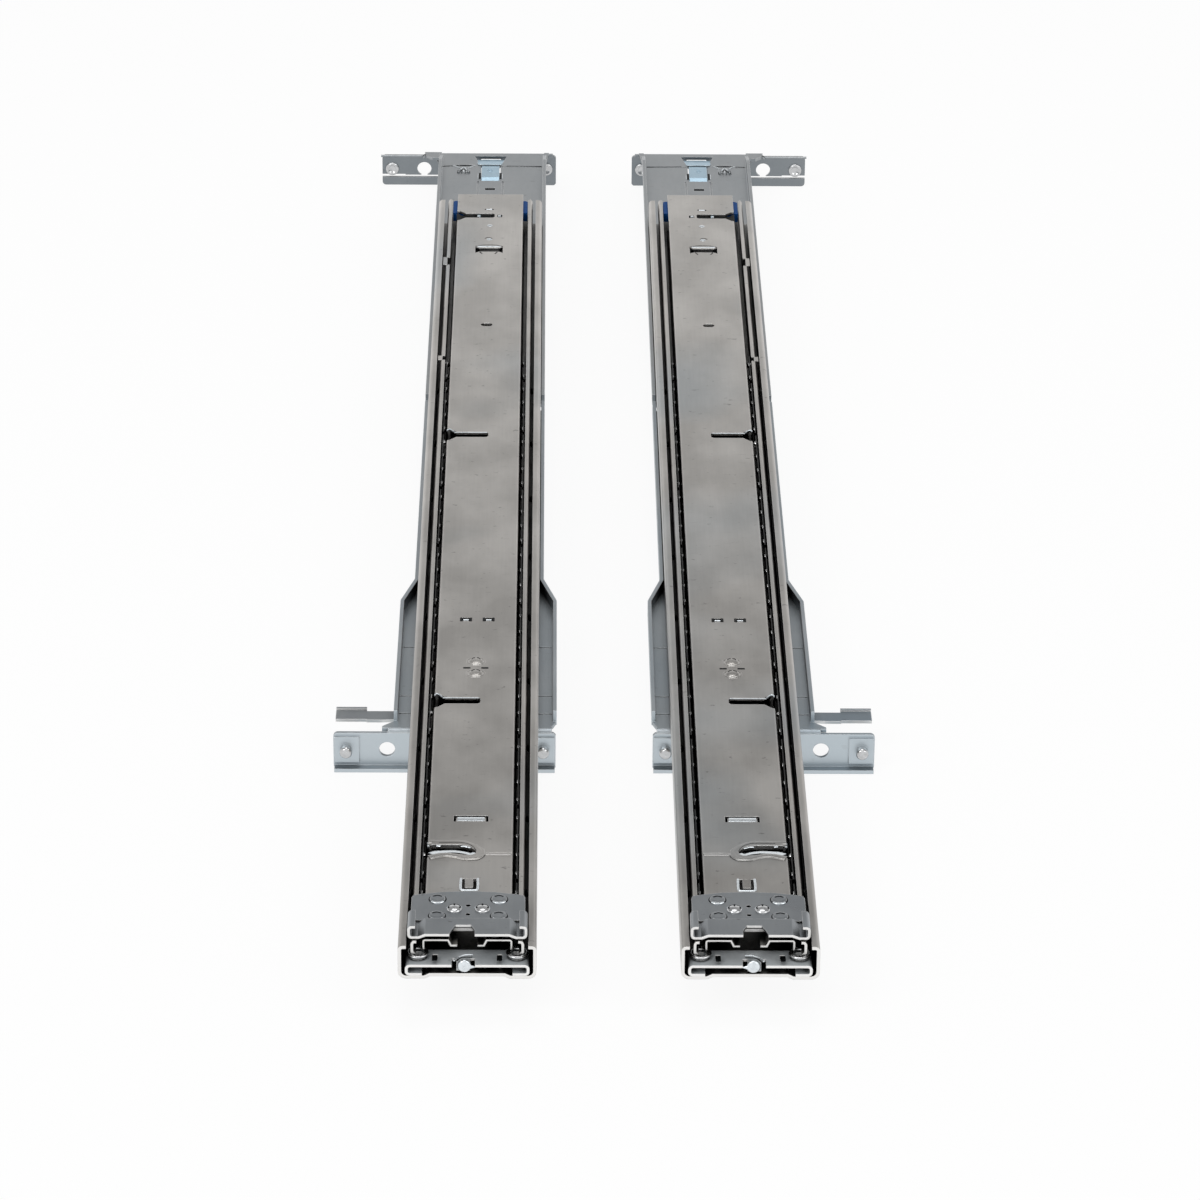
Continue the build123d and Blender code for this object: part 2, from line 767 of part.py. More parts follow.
def hook_cutter():
    """The rear drop-in slot, whose inner end turns towards the rear."""
    edge = -inner_half_width - 1
    mouth = [(edge, -113.4), (-14.1, -115.0), (-14.1, -122.6), (edge, -124.6)]
    track = plate(hook_slot_outline, inner_web_under - 1, inner_sheet + 3)
    return track + plate(mouth, middle_web_top, inner_top - middle_web_top + 2)


def inner_member():
    """The inner slide channel, web up, with its drop-in slots, windows, stop tab and pressed marks."""
    foot = middle_web_top + inner_foot_gap
    groove = inner_half_width - inner_groove
    half_points = [
        (inner_half_width, inner_top),
        (groove, inner_top - 2.6),
        (groove, inner_top - 4.9),
        (groove + 1.1, inner_top - 6.1),
        (groove + 1.1, foot),
    ]
    flank_end = inner_front - inner_flank_trim
    channel = fold_along(half_points, [0.9, 0, 0, 0], inner_sheet, Side.RIGHT, inner_rear, flank_end)
    web_half = inner_half_width - 0.35
    channel += block((-web_half, web_half), (flank_end - 1, inner_front), (inner_web_under, inner_top))
    for y in slot_stations:
        channel -= drop_in_cutter(y)
    channel += plate(hook_rim_outline, inner_top - 0.1, slot_rim_height + 0.1)
    channel -= hook_cutter()
    channel -= web_windows()
    channel += web_tabs()
    channel += block((5.2, 14.8), (-122.1, -120.9), (inner_top - 0.1, inner_top + 0.3))
    for y in (24.8, 35.2):
        channel += post(0, y, inner_top - 0.1, inner_top + 0.7, 2.8, 40.0)
    return channel


def web_windows():
    """Cutters for the small holes and lanced windows of the inner member's web."""
    low = inner_web_under - 1
    high = inner_top + 1
    oval = [(-2.6, 373.6), (-1.5, 372.6), (1.5, 372.6), (2.6, 373.6), (2.6, 375.2), (1.5, 376.2)]
    oval += [(-1.5, 376.2), (-2.6, 375.2)]
    bow_shape = [(-6.4, -3.8), (-4.8, -2.3), (4.8, -2.3), (6.4, -3.8), (6.4, 3.8), (4.8, 2.1)]
    bow_shape += [(-4.8, 2.1), (-6.4, 3.8)]
    bow_tie = [(x, stop_window_y + y) for x, y in bow_shape]
    cutters = [plate(outline, low, high - low) for outline in (oval, bow_tie)]
    cutters += [post(0, y, low, high, web_shank_radius) for y in (release_stud_y, lock_spring_y)]
    windows = [
        ((-1.5, 1.5), (inner_front - 20.1, inner_front - 18.5)),
        ((3.4, 5.8), (inner_front - 29.4, inner_front - 26.0)),
        ((-6.5, -2.5), (70.8, 74.0)),
        ((2.5, 6.5), (70.8, 74.0)),
        ((-4.7, -2.3), (29.2, 30.1)),
        ((2.3, 4.7), (29.2, 30.1)),
        ((-6.4, 6.4), (-96.6, -91.9)),
        ((-3.3, 3.3), (-148.8, -139.9)),
    ]
    cutters += [block(x_range, y_range, (low, high)) for x_range, y_range in windows]
    return cutters


def web_tabs():
    """Tabs left in the web's windows: the stop tab, sunk ramps and the square tab."""
    stop_low = middle_web_top + 0.3 + lever_sheet + 1.2
    stop_y = (stop_window_y + 2.1, stop_window_y + 3.3)
    stop_tab = block((-4.4, 4.4), stop_y, (stop_low, inner_web_under + 0.2))
    ramp = [
        (-97.4, inner_top),
        (-92.8, inner_top - ramp_drop),
        (-92.8, inner_top - ramp_drop - inner_sheet),
        (-97.4, inner_web_under),
    ]
    small_ramp = [
        (70.2, inner_top),
        (73.2, inner_top - ramp_drop),
        (73.2, inner_top - ramp_drop - inner_sheet),
        (70.2, inner_web_under),
    ]
    square_tab = [
        (-139.6, inner_top),
        (-145.4, inner_top - 0.5),
        (-145.4, inner_top - 0.5 - inner_sheet),
        (-139.6, inner_web_under),
    ]
    tabs = [stop_tab, side_plate(ramp, -5.5, 5.5), side_plate(square_tab, -1.5, 1.5)]
    return tabs + [side_plate(small_ramp, x - 1.1, x + 1.1) for x in (-4.5, 4.5)]


def inner_end_plate():
    """Plate on the inner member's rear end: an arched front edge, dimples, and hooks that form a socket."""
    low = inner_top
    top = low + plate_sheet
    side_start = plate_front - plate_arch
    corner = 2.2
    half_outline = [
        (0, plate_front),
        (9.5, plate_front - plate_arch * 0.25),
        (plate_half_width - corner, side_start),
        (plate_half_width - 0.6, side_start - 0.6),
        (plate_half_width, side_start - corner),
        (plate_half_width, plate_step_station),
    ]
    outline = half_outline + [(-x, y) for x, y in reversed(half_outline[1:])]
    socket_plate = plate(outline, low, plate_sheet) + socket_hooks()
    notch = [(-6.6, plate_rear - 1), (2.6, plate_rear - 1), (2.6, plate_rear + 3.0), (1.2, plate_rear + 6.6)]
    notch += [(-4.2, plate_rear + 6.6), (-5.6, plate_rear + 3.0)]
    socket_plate -= plate(notch, low - 1, hook_height + 2)
    for x, y in dimple_places():
        socket_plate += post(x, y, top - 0.2, top + dimple_height, dimple_radius)
    for y in (-161.7, -168.1):
        socket_plate -= post(0, y, low - 1, top + 1, 0.9)
    for x, y in plate_rivet_places():
        socket_plate -= post(x, y, low - 1, top + 1, plate_rivet_radius - 0.8)
    return socket_plate


def socket_hooks():
    """The stepped-down rear part of the end plate with its raised side hooks."""
    bottom = middle_top + hook_clearance
    half_points = [
        (14.7, inner_top + web_step),
        (17.2, bottom),
        (hook_half_width, bottom),
        (hook_half_width, bottom + hook_height),
        (hook_half_width - hook_lip, bottom + hook_height),
    ]
    y_range = (plate_rear, plate_step_station + 0.8)
    return fold_along(half_points, [0, 0, 1.6, 1.6], socket_sheet, Side.LEFT, *y_range)


def dimple_places():
    """Centres of the end plate's four round dimples."""
    return [(x, y) for x in (-11.0, 11.0) for y in (-157.1, -169.2)]


def plate_rivet_places():
    """Centres of the end plate's two rivets."""
    return [(x, -164.3) for x in (-4.9, 5.1)]


def end_plate_rivets():
    """Rivets with low conical heads on the end plate."""
    top = inner_top + plate_sheet
    rivets = []
    for x, y in plate_rivet_places():
        shank = post(x, y, inner_top, top, plate_rivet_radius - 0.8)
        rivets.append(shank + post(x, y, top, top + 1.0, plate_rivet_radius, 35.0))
    return rivets


def end_stop_clips():
    """Two folded clips under the end plate, open below, at the inner member's rear end."""
    top = inner_web_under
    rear = plate_rear + 1.2
    clips = []
    for side in (-1, 1):
        points = [
            (side * clip_half_width, top - clip_drop),
            (side * clip_half_width, top),
            (side * (clip_inner + 2.0), top),
            (side * (clip_inner + 1.0), top - 2.2),
            (side * (clip_inner - 1.0), top - 2.2),
        ]
        inside = Side.LEFT if side > 0 else Side.RIGHT
        face = folded_face(points, [1.0, 0, 0], clip_sheet, inside)
        clip = Pos(0, rear, 0) * extrude(Plane.XZ * face, amount=clip_length, dir=(0, 1, 0))
        tab_x = sorted_pair(side * (clip_inner + 2.6), side * (clip_half_width - 3.6))
        clip += block(tab_x, (rear, rear + clip_length + clip_tab_length), (top - clip_sheet, top))
        clips.append(clip)
    return clips


def release_latch():
    """Blue release under the front of the inner member: a plate between two taller side rails."""
    y_range = (release_rear, release_rear + release_length)
    z_range = (release_low, release_low + release_thickness)
    body = block((-release_width, release_width), y_range, z_range)
    for side in (-1, 1):
        x_range = sorted_pair(side * release_width, side * (release_width - release_rail_width))
        body += block(x_range, y_range, (release_low, release_low + release_drop))
    body = chamfer(body.edges().filter_by(Axis.Z).group_by(Axis.Y)[-1], 1.0)
    body += block((-release_stem_half, release_stem_half), (release_stem_rear, release_rear + 2), z_range)
    reach = release_stud_radius + slide_gap
    slot_y = (release_stud_y - release_travel - reach, release_stud_y + reach)
    return body - block((-reach, reach), slot_y, (release_low - 1, release_low + release_thickness + 1))


def release_guide_stud():
    """Headed stud under the inner member's web that carries the release latch's slotted stem."""
    head_top = release_low - slide_gap
    stud = post(0, release_stud_y, inner_web_under, inner_top, web_shank_radius)
    stud += post(0, release_stud_y, head_top, inner_web_under, release_stud_radius)
    return stud + post(0, release_stud_y, head_top - 0.8, head_top, 3.6)


def pin_lock_spring():
    """Flat spring under the front drop-in slot, whose finger stands in the slot."""
    half = lock_spring_width / 2
    root = lock_spring_y - 3.0
    neck = lock_spring_y + 4.0
    y_end = slot_stations[0] + 1.6
    finger_x = (lock_finger_x - 0.7, lock_finger_x + 0.7)
    outline = [(-half, root), (half, root), (half, neck)]
    outline += [(finger_x[1], y_end), (finger_x[0], y_end), (-half, neck)]
    spring = plate(outline, spring_low, lock_spring_sheet)
    spring += block(finger_x, (y_end - 3.2, y_end), (spring_low, inner_top - 0.3))
    return spring - post(0, lock_spring_y, spring_low - 1, spring_top + 1, web_shank_radius + 0.2)


def pin_lock_rivet():
    """Rivet that holds the pin lock spring's root under the web."""
    shank = post(0, lock_spring_y, spring_low - 0.3, inner_top, web_shank_radius)
    return shank + post(0, lock_spring_y, spring_low - 1.0, spring_low - 0.3, 2.4)


def ball(x, y, z):
    """A bearing ball, drawn with eight three-sided and six square flats."""
    reach = ball_radius / 2**0.5
    signs = (-reach, reach)
    corners = [(a, b, 0) for a in signs for b in signs]
    corners += [(a, 0, b) for a in signs for b in signs]
    corners += [(0, a, b) for a in signs for b in signs]
    return Pos(x, y, z) * ConvexPolyhedron(corners)


def ball_stations():
    """Places of the balls along a cage."""
    pitch = cage_length / balls_per_row
    return [cage_rear + pitch * (i + 0.5) for i in range(balls_per_row)]


def ball_row_pair(x, z):
    """Balls of both sides of a rail at one height."""
    return [ball(side * x, y, z) for side in (-1, 1) for y in ball_stations()]


def cage_pair(x, z, z_range):
    """Two cage strips, one each side of the rail, with a window for each ball."""
    strips = []
    reach = ball_radius + cage_clearance
    for side in (-1, 1):
        half = cage_sheet / 2
        x_range = (side * x - half, side * x + half)
        strip = block(x_range, (cage_rear, cage_rear + cage_length), z_range)
        for y in ball_stations():
            strip -= block((side * x - 1, side * x + 1), (y - reach, y + reach), (z - reach, z + reach))
        strips.append(strip)
    return strips


def outer_ball_cage():
    """Cage strips between the outer and middle members."""
    half = outer_cage_height / 2
    return cage_pair(outer_ball_x, outer_ball_z, (outer_ball_z - half, outer_ball_z + half))


def outer_balls():
    """Balls between the outer and middle members."""
    return ball_row_pair(outer_ball_x, outer_ball_z)


def inner_ball_cage():
    """Comb-shaped cage strips between the middle and inner members, open above the balls."""
    top = middle_top - middle_sheet - ball_clearance
    return cage_pair(inner_ball_x, inner_ball_z, (top - inner_cage_height, top))


def inner_balls():
    """Balls between the middle and inner members."""
    return ball_row_pair(inner_ball_x, inner_ball_z)


rail_pieces = (
    front_bracket,
    front_pins,
    outer_member,
    bracket_rivets,
    guide_studs,
    outer_end_socket,
    outer_socket_rivets,
    front_latch,
    rear_bracket,
    rear_pins,
    rear_lever,
    rear_lever_rivet,
    middle_member,
    lock_lever,
    lock_lever_rivet,
    outer_ball_cage,
    outer_balls,
    inner_ball_cage,
    inner_balls,
    inner_member,
    inner_end_plate,
    end_plate_rivets,
    end_stop_clips,
    release_latch,
    release_guide_stud,
    pin_lock_spring,
    pin_lock_rivet,
)

os.makedirs("parts", exist_ok=True)
for piece in rail_pieces:
    drawn = piece()
    drawn_list = drawn if isinstance(drawn, list) else [drawn]
    solids = [solid for item in drawn_list for solid in item.solids()]
    placed = Pos(-rail_spacing / 2, -centre_y, 0) * Compound(solids)
    export_step(placed, f"parts/left_{piece.__name__}.step")
    export_step(mirror(placed, about=Plane.YZ), f"parts/right_{piece.__name__}.step")
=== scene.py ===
"""A pair of sliding rack rails in zinc-plated steel: finishes, pressed details, light and camera."""

import json
import logging
import math
from dataclasses import dataclass
from enum import Enum
from typing import Any, Optional, Sequence

import bmesh
import bpy
import numpy as np
from mathutils import Matrix, Vector

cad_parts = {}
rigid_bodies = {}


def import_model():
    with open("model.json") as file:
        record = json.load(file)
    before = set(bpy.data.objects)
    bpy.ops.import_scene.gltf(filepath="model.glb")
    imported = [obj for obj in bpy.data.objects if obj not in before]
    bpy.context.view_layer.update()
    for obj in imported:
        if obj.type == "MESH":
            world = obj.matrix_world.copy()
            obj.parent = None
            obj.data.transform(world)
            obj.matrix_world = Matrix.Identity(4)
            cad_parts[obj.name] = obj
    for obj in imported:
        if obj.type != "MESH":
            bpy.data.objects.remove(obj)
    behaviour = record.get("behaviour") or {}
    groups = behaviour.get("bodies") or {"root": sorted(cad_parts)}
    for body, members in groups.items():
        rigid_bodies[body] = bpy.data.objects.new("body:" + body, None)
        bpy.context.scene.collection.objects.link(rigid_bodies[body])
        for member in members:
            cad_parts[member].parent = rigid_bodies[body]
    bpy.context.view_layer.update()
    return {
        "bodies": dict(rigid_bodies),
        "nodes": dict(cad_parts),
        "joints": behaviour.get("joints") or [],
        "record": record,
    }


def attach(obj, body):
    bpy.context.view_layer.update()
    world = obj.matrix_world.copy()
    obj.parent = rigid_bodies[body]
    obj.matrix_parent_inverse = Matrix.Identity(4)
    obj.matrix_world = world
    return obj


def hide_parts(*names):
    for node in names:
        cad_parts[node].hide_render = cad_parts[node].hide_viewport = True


LOG = logging.getLogger("rails")

# The frame of the CAD: stations run from a datum behind the rear mounting face, in millimetres
MM = 0.001
CENTRE_STATION = 221.05
RAIL_CENTRE = 50.0

# Heights shared by several pieces, in millimetres above the floor
PIN_HEIGHT = 8.5
INNER_TOP = 30.5
PLATE_TOP = 31.7
FLOOR_TOP = 17.0
SOCKET_TOP = 24.2

# Places shared by the turned pieces and the fine lines about them: x or station in millimetres
DIMPLE_SIDES = (-11.0, 11.0)
RIVET_SIDES = (-4.9, 5.1)
RIVET_STATION = -164.3
DOME_STATIONS = (24.8, 35.2)

# Edges that turn by more than this stay creased, in degrees
CREASE_DEG = 42.0

# Corners nearer than this are one corner, in millimetres
WELD_MM = 0.002

# The sRGB curve: its knee, the slope below the knee, and the offset and the power above it
SRGB_KNEE = 0.04045
SRGB_SLOPE = 12.92
SRGB_OFFSET = 0.055
SRGB_POWER = 2.4

# The node that mixes colours: inputs i0, i6 and i7 are the share and both colours, output 2 the result
MIXED = 2
BLEND = {"data_type": "RGBA", "blend_type": "MIX"}
MULTIPLY = {"data_type": "RGBA", "blend_type": "MULTIPLY"}
WHITE = (1.0, 1.0, 1.0, 1.0)

# A closed surface: corners in rail-local millimetres, and faces of four corner numbers
Surface = tuple[np.ndarray, np.ndarray]

# A place on a sheet: x and station in millimetres
Spot = tuple[float, float]


class Side(Enum):
    """The two rails; the value is the side of X on which a rail lies."""

    LEFT = -1
    RIGHT = 1

    @property
    def word(self) -> str:
        """The name used in the CAD's nodes and bodies."""
        return self.name.lower()

    def node(self, piece: str) -> str:
        """The full name of one of this rail's nodes or bodies."""
        return f"{self.word}_{piece}"

    def place(self, points: np.ndarray) -> np.ndarray:
        """Turns rail-local millimetres into the frame's metres.

        Args:
            points: Rows of x (outward edge negative), station and height.

        Returns:
            Rows of X, Y and Z in metres.
        """
        x = self.value * (RAIL_CENTRE - points[..., 0])
        return np.stack([x, points[..., 1] - CENTRE_STATION, points[..., 2]], axis=-1) * MM


def linear(hex_colour: str) -> tuple[float, float, float, float]:
    """Turns an sRGB hex colour into linear RGBA.

    Args:
        hex_colour: Six hex digits after a hash sign.

    Returns:
        Linear red, green, blue and an alpha of one.
    """
    parts = [int(hex_colour[i : i + 2], 16) / 255 for i in (1, 3, 5)]
    red, green, blue = [
        part / SRGB_SLOPE if part <= SRGB_KNEE else ((part + SRGB_OFFSET) / (1 + SRGB_OFFSET)) ** SRGB_POWER
        for part in parts
    ]
    return (red, green, blue, 1.0)


def add_node(
    tree: bpy.types.NodeTree, kind: str, settings: Optional[dict[str, Any]] = None, **inputs: Any
) -> bpy.types.Node:
    """Adds a shader node with its settings and its inputs.

    Args:
        tree: The material's or world's node tree.
        kind: Blender's name of the node type.
        settings: Values of the node's own properties, and as "stops" a ramp's places and grey levels.
        **inputs: Values or output sockets by input name, with spaces as underscores, or i0, i1 by place.

    Returns:
        The new node.
    """
    node = tree.nodes.new(kind)
    own = dict(settings or {})
    stops = own.pop("stops", None)
    for key, value in own.items():
        setattr(node, key, value)
    if stops:
        elements = node.color_ramp.elements
        while len(elements) < len(stops):
            elements.new(0.5)
        for element, (place, level) in zip(elements, stops):
            element.position = place
            element.color = (level, level, level, 1.0)
    for key, value in inputs.items():
        name: Any = int(key[1:]) if key[0] == "i" and key[1:].isdigit() else key.replace("_", " ")
        socket = node.inputs[name]
        if isinstance(value, bpy.types.NodeSocket):
            tree.links.new(value, socket)
        else:
            socket.default_value = value
    return node


def new_material(name: str) -> tuple[bpy.types.Material, bpy.types.NodeTree, bpy.types.Node]:
    """Makes a plain material to build on.

    Args:
        name: The material's name.

    Returns:
        The material, its node tree and its shader.
    """
    material = bpy.data.materials.new(name)
    material.use_nodes = True
    return material, material.node_tree, material.node_tree.nodes["Principled BSDF"]


def tinted(
    tree: bpy.types.NodeTree, colour: Any, pattern: Any, stops: Sequence[tuple[float, float]], tint: str
) -> bpy.types.NodeSocket:
    """Lays a tint over a colour where a pattern calls for it.

    Args:
        tree: The node tree.
        colour: Socket or linear colour that lies below.
        pattern: The pattern's socket.
        stops: Pairs of the pattern's value and the tint's share at it.
        tint: sRGB hex colour.

    Returns:
        The resulting colour's socket.
    """
    share = add_node(tree, "ShaderNodeValToRGB", {"stops": stops}, Fac=pattern).outputs["Color"]
    return add_node(tree, "ShaderNodeMix", BLEND, i0=share, i6=colour, i7=linear(tint)).outputs[MIXED]


@dataclass(frozen=True)
class ZincPlate:
    """Bright zinc plate on rolled steel sheet: a metal with a cloudy, slightly blue or straw-coloured film.

    Rolled along Y and then plated. To the eye that gives long fine grain, soft clouds a few centimetres
    wide, small dark handling marks and short scratches across the sheet. Painted light lies on top: painted
    highlights along the outer edges, painted light and shade on faces turned along Y, painted shade in the
    narrow gaps, and a painted falloff that can darken the plate towards the rear. Sizes are in millimetres.
    The grain and the scratches are drawn several times coarser than real, as finer ones wouldn't show.
    """

    name: str
    base: str
    cloud: str
    film: str
    mark: str = "#5d5b59"
    roughness: float = 0.36
    roughness_spread: tuple[float, float] = (-0.05, 0.07)
    cloud_mm: float = 26.0
    cloud_stretch: float = 1.6
    cloud_range: tuple[float, float] = (0.38, 0.66)
    film_mm: float = 85.0
    film_range: tuple[float, float] = (0.54, 0.72)
    film_share: float = 0.35
    grain_mm: tuple[float, float] = (0.9, 26.0)
    grain_depth: float = 0.04
    grain_height_mm: float = 0.2
    grain_levels: tuple[tuple[float, float], ...] = ((0.3, 0.975), (0.7, 1.02))
    mark_mm: tuple[float, float, float] = (3.2, 2.2, 3.2)
    mark_range: tuple[float, float] = (0.69, 0.76)
    mark_share: float = 0.5
    scratch_mm: tuple[float, float, float] = (7.0, 0.45, 3.0)
    scratch_range: tuple[float, float] = (0.735, 0.765)
    scratch_share: float = 0.3
    # Painted highlight: a pale tint along the outer edges
    edge_mm: float = 0.35
    edge: str = "#f0efed"
    edge_range: tuple[float, float] = (0.82, 0.985)
    edge_share: float = 0.6
    # Painted shade: a near-black tint in narrow gaps, where little light reaches
    cavity: str = "#121212"
    cavity_mm: float = 12.0
    cavity_share: float = 0.97
    cavity_range: tuple[float, float] = (0.3, 0.6)
    # Painted light and shade on faces whose own normal lies along Y: a tone of their own
    cut_end: str = "#f4f3f1"
    cut_range: tuple[float, float] = (0.93, 0.98)
    cut_share: float = 0.85
    metal: float = 1.0
    # Painted falloff of light along the rail: a factor on the colour from one station to the other
    drift_mm: tuple[float, float] = (-410.0, 310.0)
    drift: tuple[float, float] = (1.0, 1.0)

    def build(self) -> bpy.types.Material:
        """Makes the material.

        Returns:
            The finished material.
        """
        material, tree, shader = new_material(self.name)
        where = add_node(tree, "ShaderNodeTexCoord").outputs["Object"]

        def lumps(sizes_mm: Sequence[float], detail: float) -> bpy.types.NodeSocket:
            """Adds noise.

            Args:
                sizes_mm: The size of its lumps along X, Y and Z.
                detail: How many finer layers it has.

            Returns:
                The noise's socket.
            """
            scale = tuple(1 / (size * MM) for size in sizes_mm)
            scaled = add_node(tree, "ShaderNodeMapping", None, Vector=where, Scale=scale).outputs[0]
            return add_node(
                tree, "ShaderNodeTexNoise", None, Vector=scaled, Scale=1.0, Detail=detail,
            ).outputs[0]

        across, along = self.grain_mm
        clouds = lumps((self.cloud_mm, self.cloud_mm * self.cloud_stretch, self.cloud_mm), 4.0)
        film = lumps((self.film_mm, self.film_mm, self.film_mm), 1.5)
        grain = lumps((across, along, across), 3.0)
        marks = lumps(self.mark_mm, 2.0)
        scratches = lumps(self.scratch_mm, 1.0)
        colour: Any = linear(self.base)
        for pattern, (low, high), share, tint in (
            (clouds, self.cloud_range, 1.0, self.cloud),
            (film, self.film_range, self.film_share, self.film),
            (marks, self.mark_range, self.mark_share, self.mark),
            (scratches, self.scratch_range, self.scratch_share, self.mark),
        ):
            colour = tinted(tree, colour, pattern, [(low, 0.0), (high, share)], tint)
        colour = self._with_drift(tree, colour, where)
        stops = {"stops": self.grain_levels}
        level = add_node(tree, "ShaderNodeValToRGB", stops, Fac=grain).outputs["Color"]
        colour = add_node(tree, "ShaderNodeMix", MULTIPLY, i0=1.0, i6=colour, i7=level).outputs[MIXED]
        colour = self._with_edges(tree, colour)
        colour = self._with_cut_ends(tree, colour)
        colour = self._with_cavities(tree, colour)
        tree.links.new(colour, shader.inputs["Base Color"])

        low, high = self.roughness_spread
        rough = add_node(
            tree, "ShaderNodeMapRange", None,
            Value=clouds, i1=0.3, i2=0.7, i3=self.roughness + low, i4=self.roughness + high,
        ).outputs[0]
        tree.links.new(rough, shader.inputs["Roughness"])
        shader.inputs["Metallic"].default_value = self.metal
        bevel = add_node(tree, "ShaderNodeBevel", {"samples": 6}, Radius=self.edge_mm * MM)
        bump = add_node(
            tree, "ShaderNodeBump", None, Strength=self.grain_depth,
            Distance=self.grain_height_mm * MM, Height=grain, Normal=bevel.outputs[0],
        )
        tree.links.new(bump.outputs[0], shader.inputs["Normal"])
        return material

    def _with_drift(self, tree: bpy.types.NodeTree, colour: Any, where: Any) -> bpy.types.NodeSocket:
        """Paints the plate slowly brighter along the rail: a painted falloff of light, darker towards the
        rear.

        Args:
            tree: The node tree.
            colour: The colour so far.
            where: The Object coordinates' socket.

        Returns:
            The resulting colour's socket.
        """
        along = add_node(tree, "ShaderNodeSeparateXYZ", None, Vector=where).outputs["Y"]
        start, end = self.drift_mm
        level = add_node(
            tree, "ShaderNodeMapRange", None,
            Value=along, i1=start * MM, i2=end * MM, i3=self.drift[0], i4=self.drift[1],
        ).outputs[0]
        return add_node(tree, "ShaderNodeMix", MULTIPLY, i0=1.0, i6=colour, i7=level).outputs[MIXED]

    def _with_edges(self, tree: bpy.types.NodeTree, colour: Any) -> bpy.types.NodeSocket:
        """Paints a pale highlight along the outer edges, where they catch the light.

        The pattern is the dot product of the bevelled and the plain normal, which falls below one at edges.

        Args:
            tree: The node tree.
            colour: The colour so far.

        Returns:
            The resulting colour's socket.
        """
        geometry = add_node(tree, "ShaderNodeNewGeometry")
        bevel = add_node(tree, "ShaderNodeBevel", {"samples": 6}, Radius=self.edge_mm * MM)
        turn = add_node(
            tree, "ShaderNodeVectorMath", {"operation": "DOT_PRODUCT"},
            i0=bevel.outputs[0], i1=geometry.outputs["Normal"],
        ).outputs["Value"]
        low, high = self.edge_range
        return tinted(tree, colour, turn, [(low, self.edge_share), (high, 0.0)], self.edge)

    def _with_cut_ends(self, tree: bpy.types.NodeTree, colour: Any) -> bpy.types.NodeSocket:
        """Paints light and shade by facing: faces whose own normal lies along Y, the sheared ends and
        upright flanges, get their own tone.

        Args:
            tree: The node tree.
            colour: The colour so far.

        Returns:
            The resulting colour's socket.
        """
        normal = add_node(tree, "ShaderNodeTexCoord").outputs["Normal"]
        along = add_node(tree, "ShaderNodeSeparateXYZ", None, Vector=normal).outputs["Y"]
        share = add_node(tree, "ShaderNodeMath", {"operation": "ABSOLUTE"}, i0=along).outputs[0]
        low, high = self.cut_range
        return tinted(tree, colour, share, [(low, 0.0), (high, self.cut_share)], self.cut_end)

    def _with_cavities(self, tree: bpy.types.NodeTree, colour: Any) -> bpy.types.NodeSocket:
        """Paints shade into narrow gaps: the pattern is how much of the sky a point sees.

        Args:
            tree: The node tree.
            colour: The colour so far.

        Returns:
            The resulting colour's socket.
        """
        openness = add_node(
            tree, "ShaderNodeAmbientOcclusion", {"samples": 8}, Distance=self.cavity_mm * MM,
        ).outputs["AO"]
        low, high = self.cavity_range
        return tinted(tree, colour, openness, [(low, self.cavity_share), (high, 0.0)], self.cavity)


@dataclass(frozen=True)
class TurnedSteel:
    """Turned, headed or rubbed steel: a plain bright metal with faint spots, drawn coarser than real."""

    name: str
    base: str = "#c9cacb"
    roughness: float = 0.22
    roughness_spread: tuple[float, float] = (-0.04, 0.06)
    spots_mm: float = 1.4
    spot_levels: tuple[tuple[float, float], ...] = ((0.35, 0.86), (0.65, 1.0))

    def build(self) -> bpy.types.Material:
        """Makes the material.

        Returns:
            The finished material.
        """
        material, tree, shader = new_material(self.name)
        where = add_node(tree, "ShaderNodeTexCoord").outputs["Object"]
        noise = add_node(
            tree, "ShaderNodeTexNoise", None, Vector=where, Scale=1 / (self.spots_mm * MM), Detail=3.0,
        ).outputs[0]
        level = add_node(tree, "ShaderNodeValToRGB", {"stops": self.spot_levels}, Fac=noise).outputs["Color"]
        colour = add_node(
            tree, "ShaderNodeMix", MULTIPLY, i0=1.0, i6=linear(self.base), i7=level,
        ).outputs[MIXED]
        tree.links.new(colour, shader.inputs["Base Color"])
        low, high = self.roughness_spread
        rough = add_node(
            tree, "ShaderNodeMapRange", None,
            Value=noise, i1=0.3, i2=0.7, i3=self.roughness + low, i4=self.roughness + high,
        ).outputs[0]
        tree.links.new(rough, shader.inputs["Roughness"])
        shader.inputs["Metallic"].default_value = 1.0
        return material


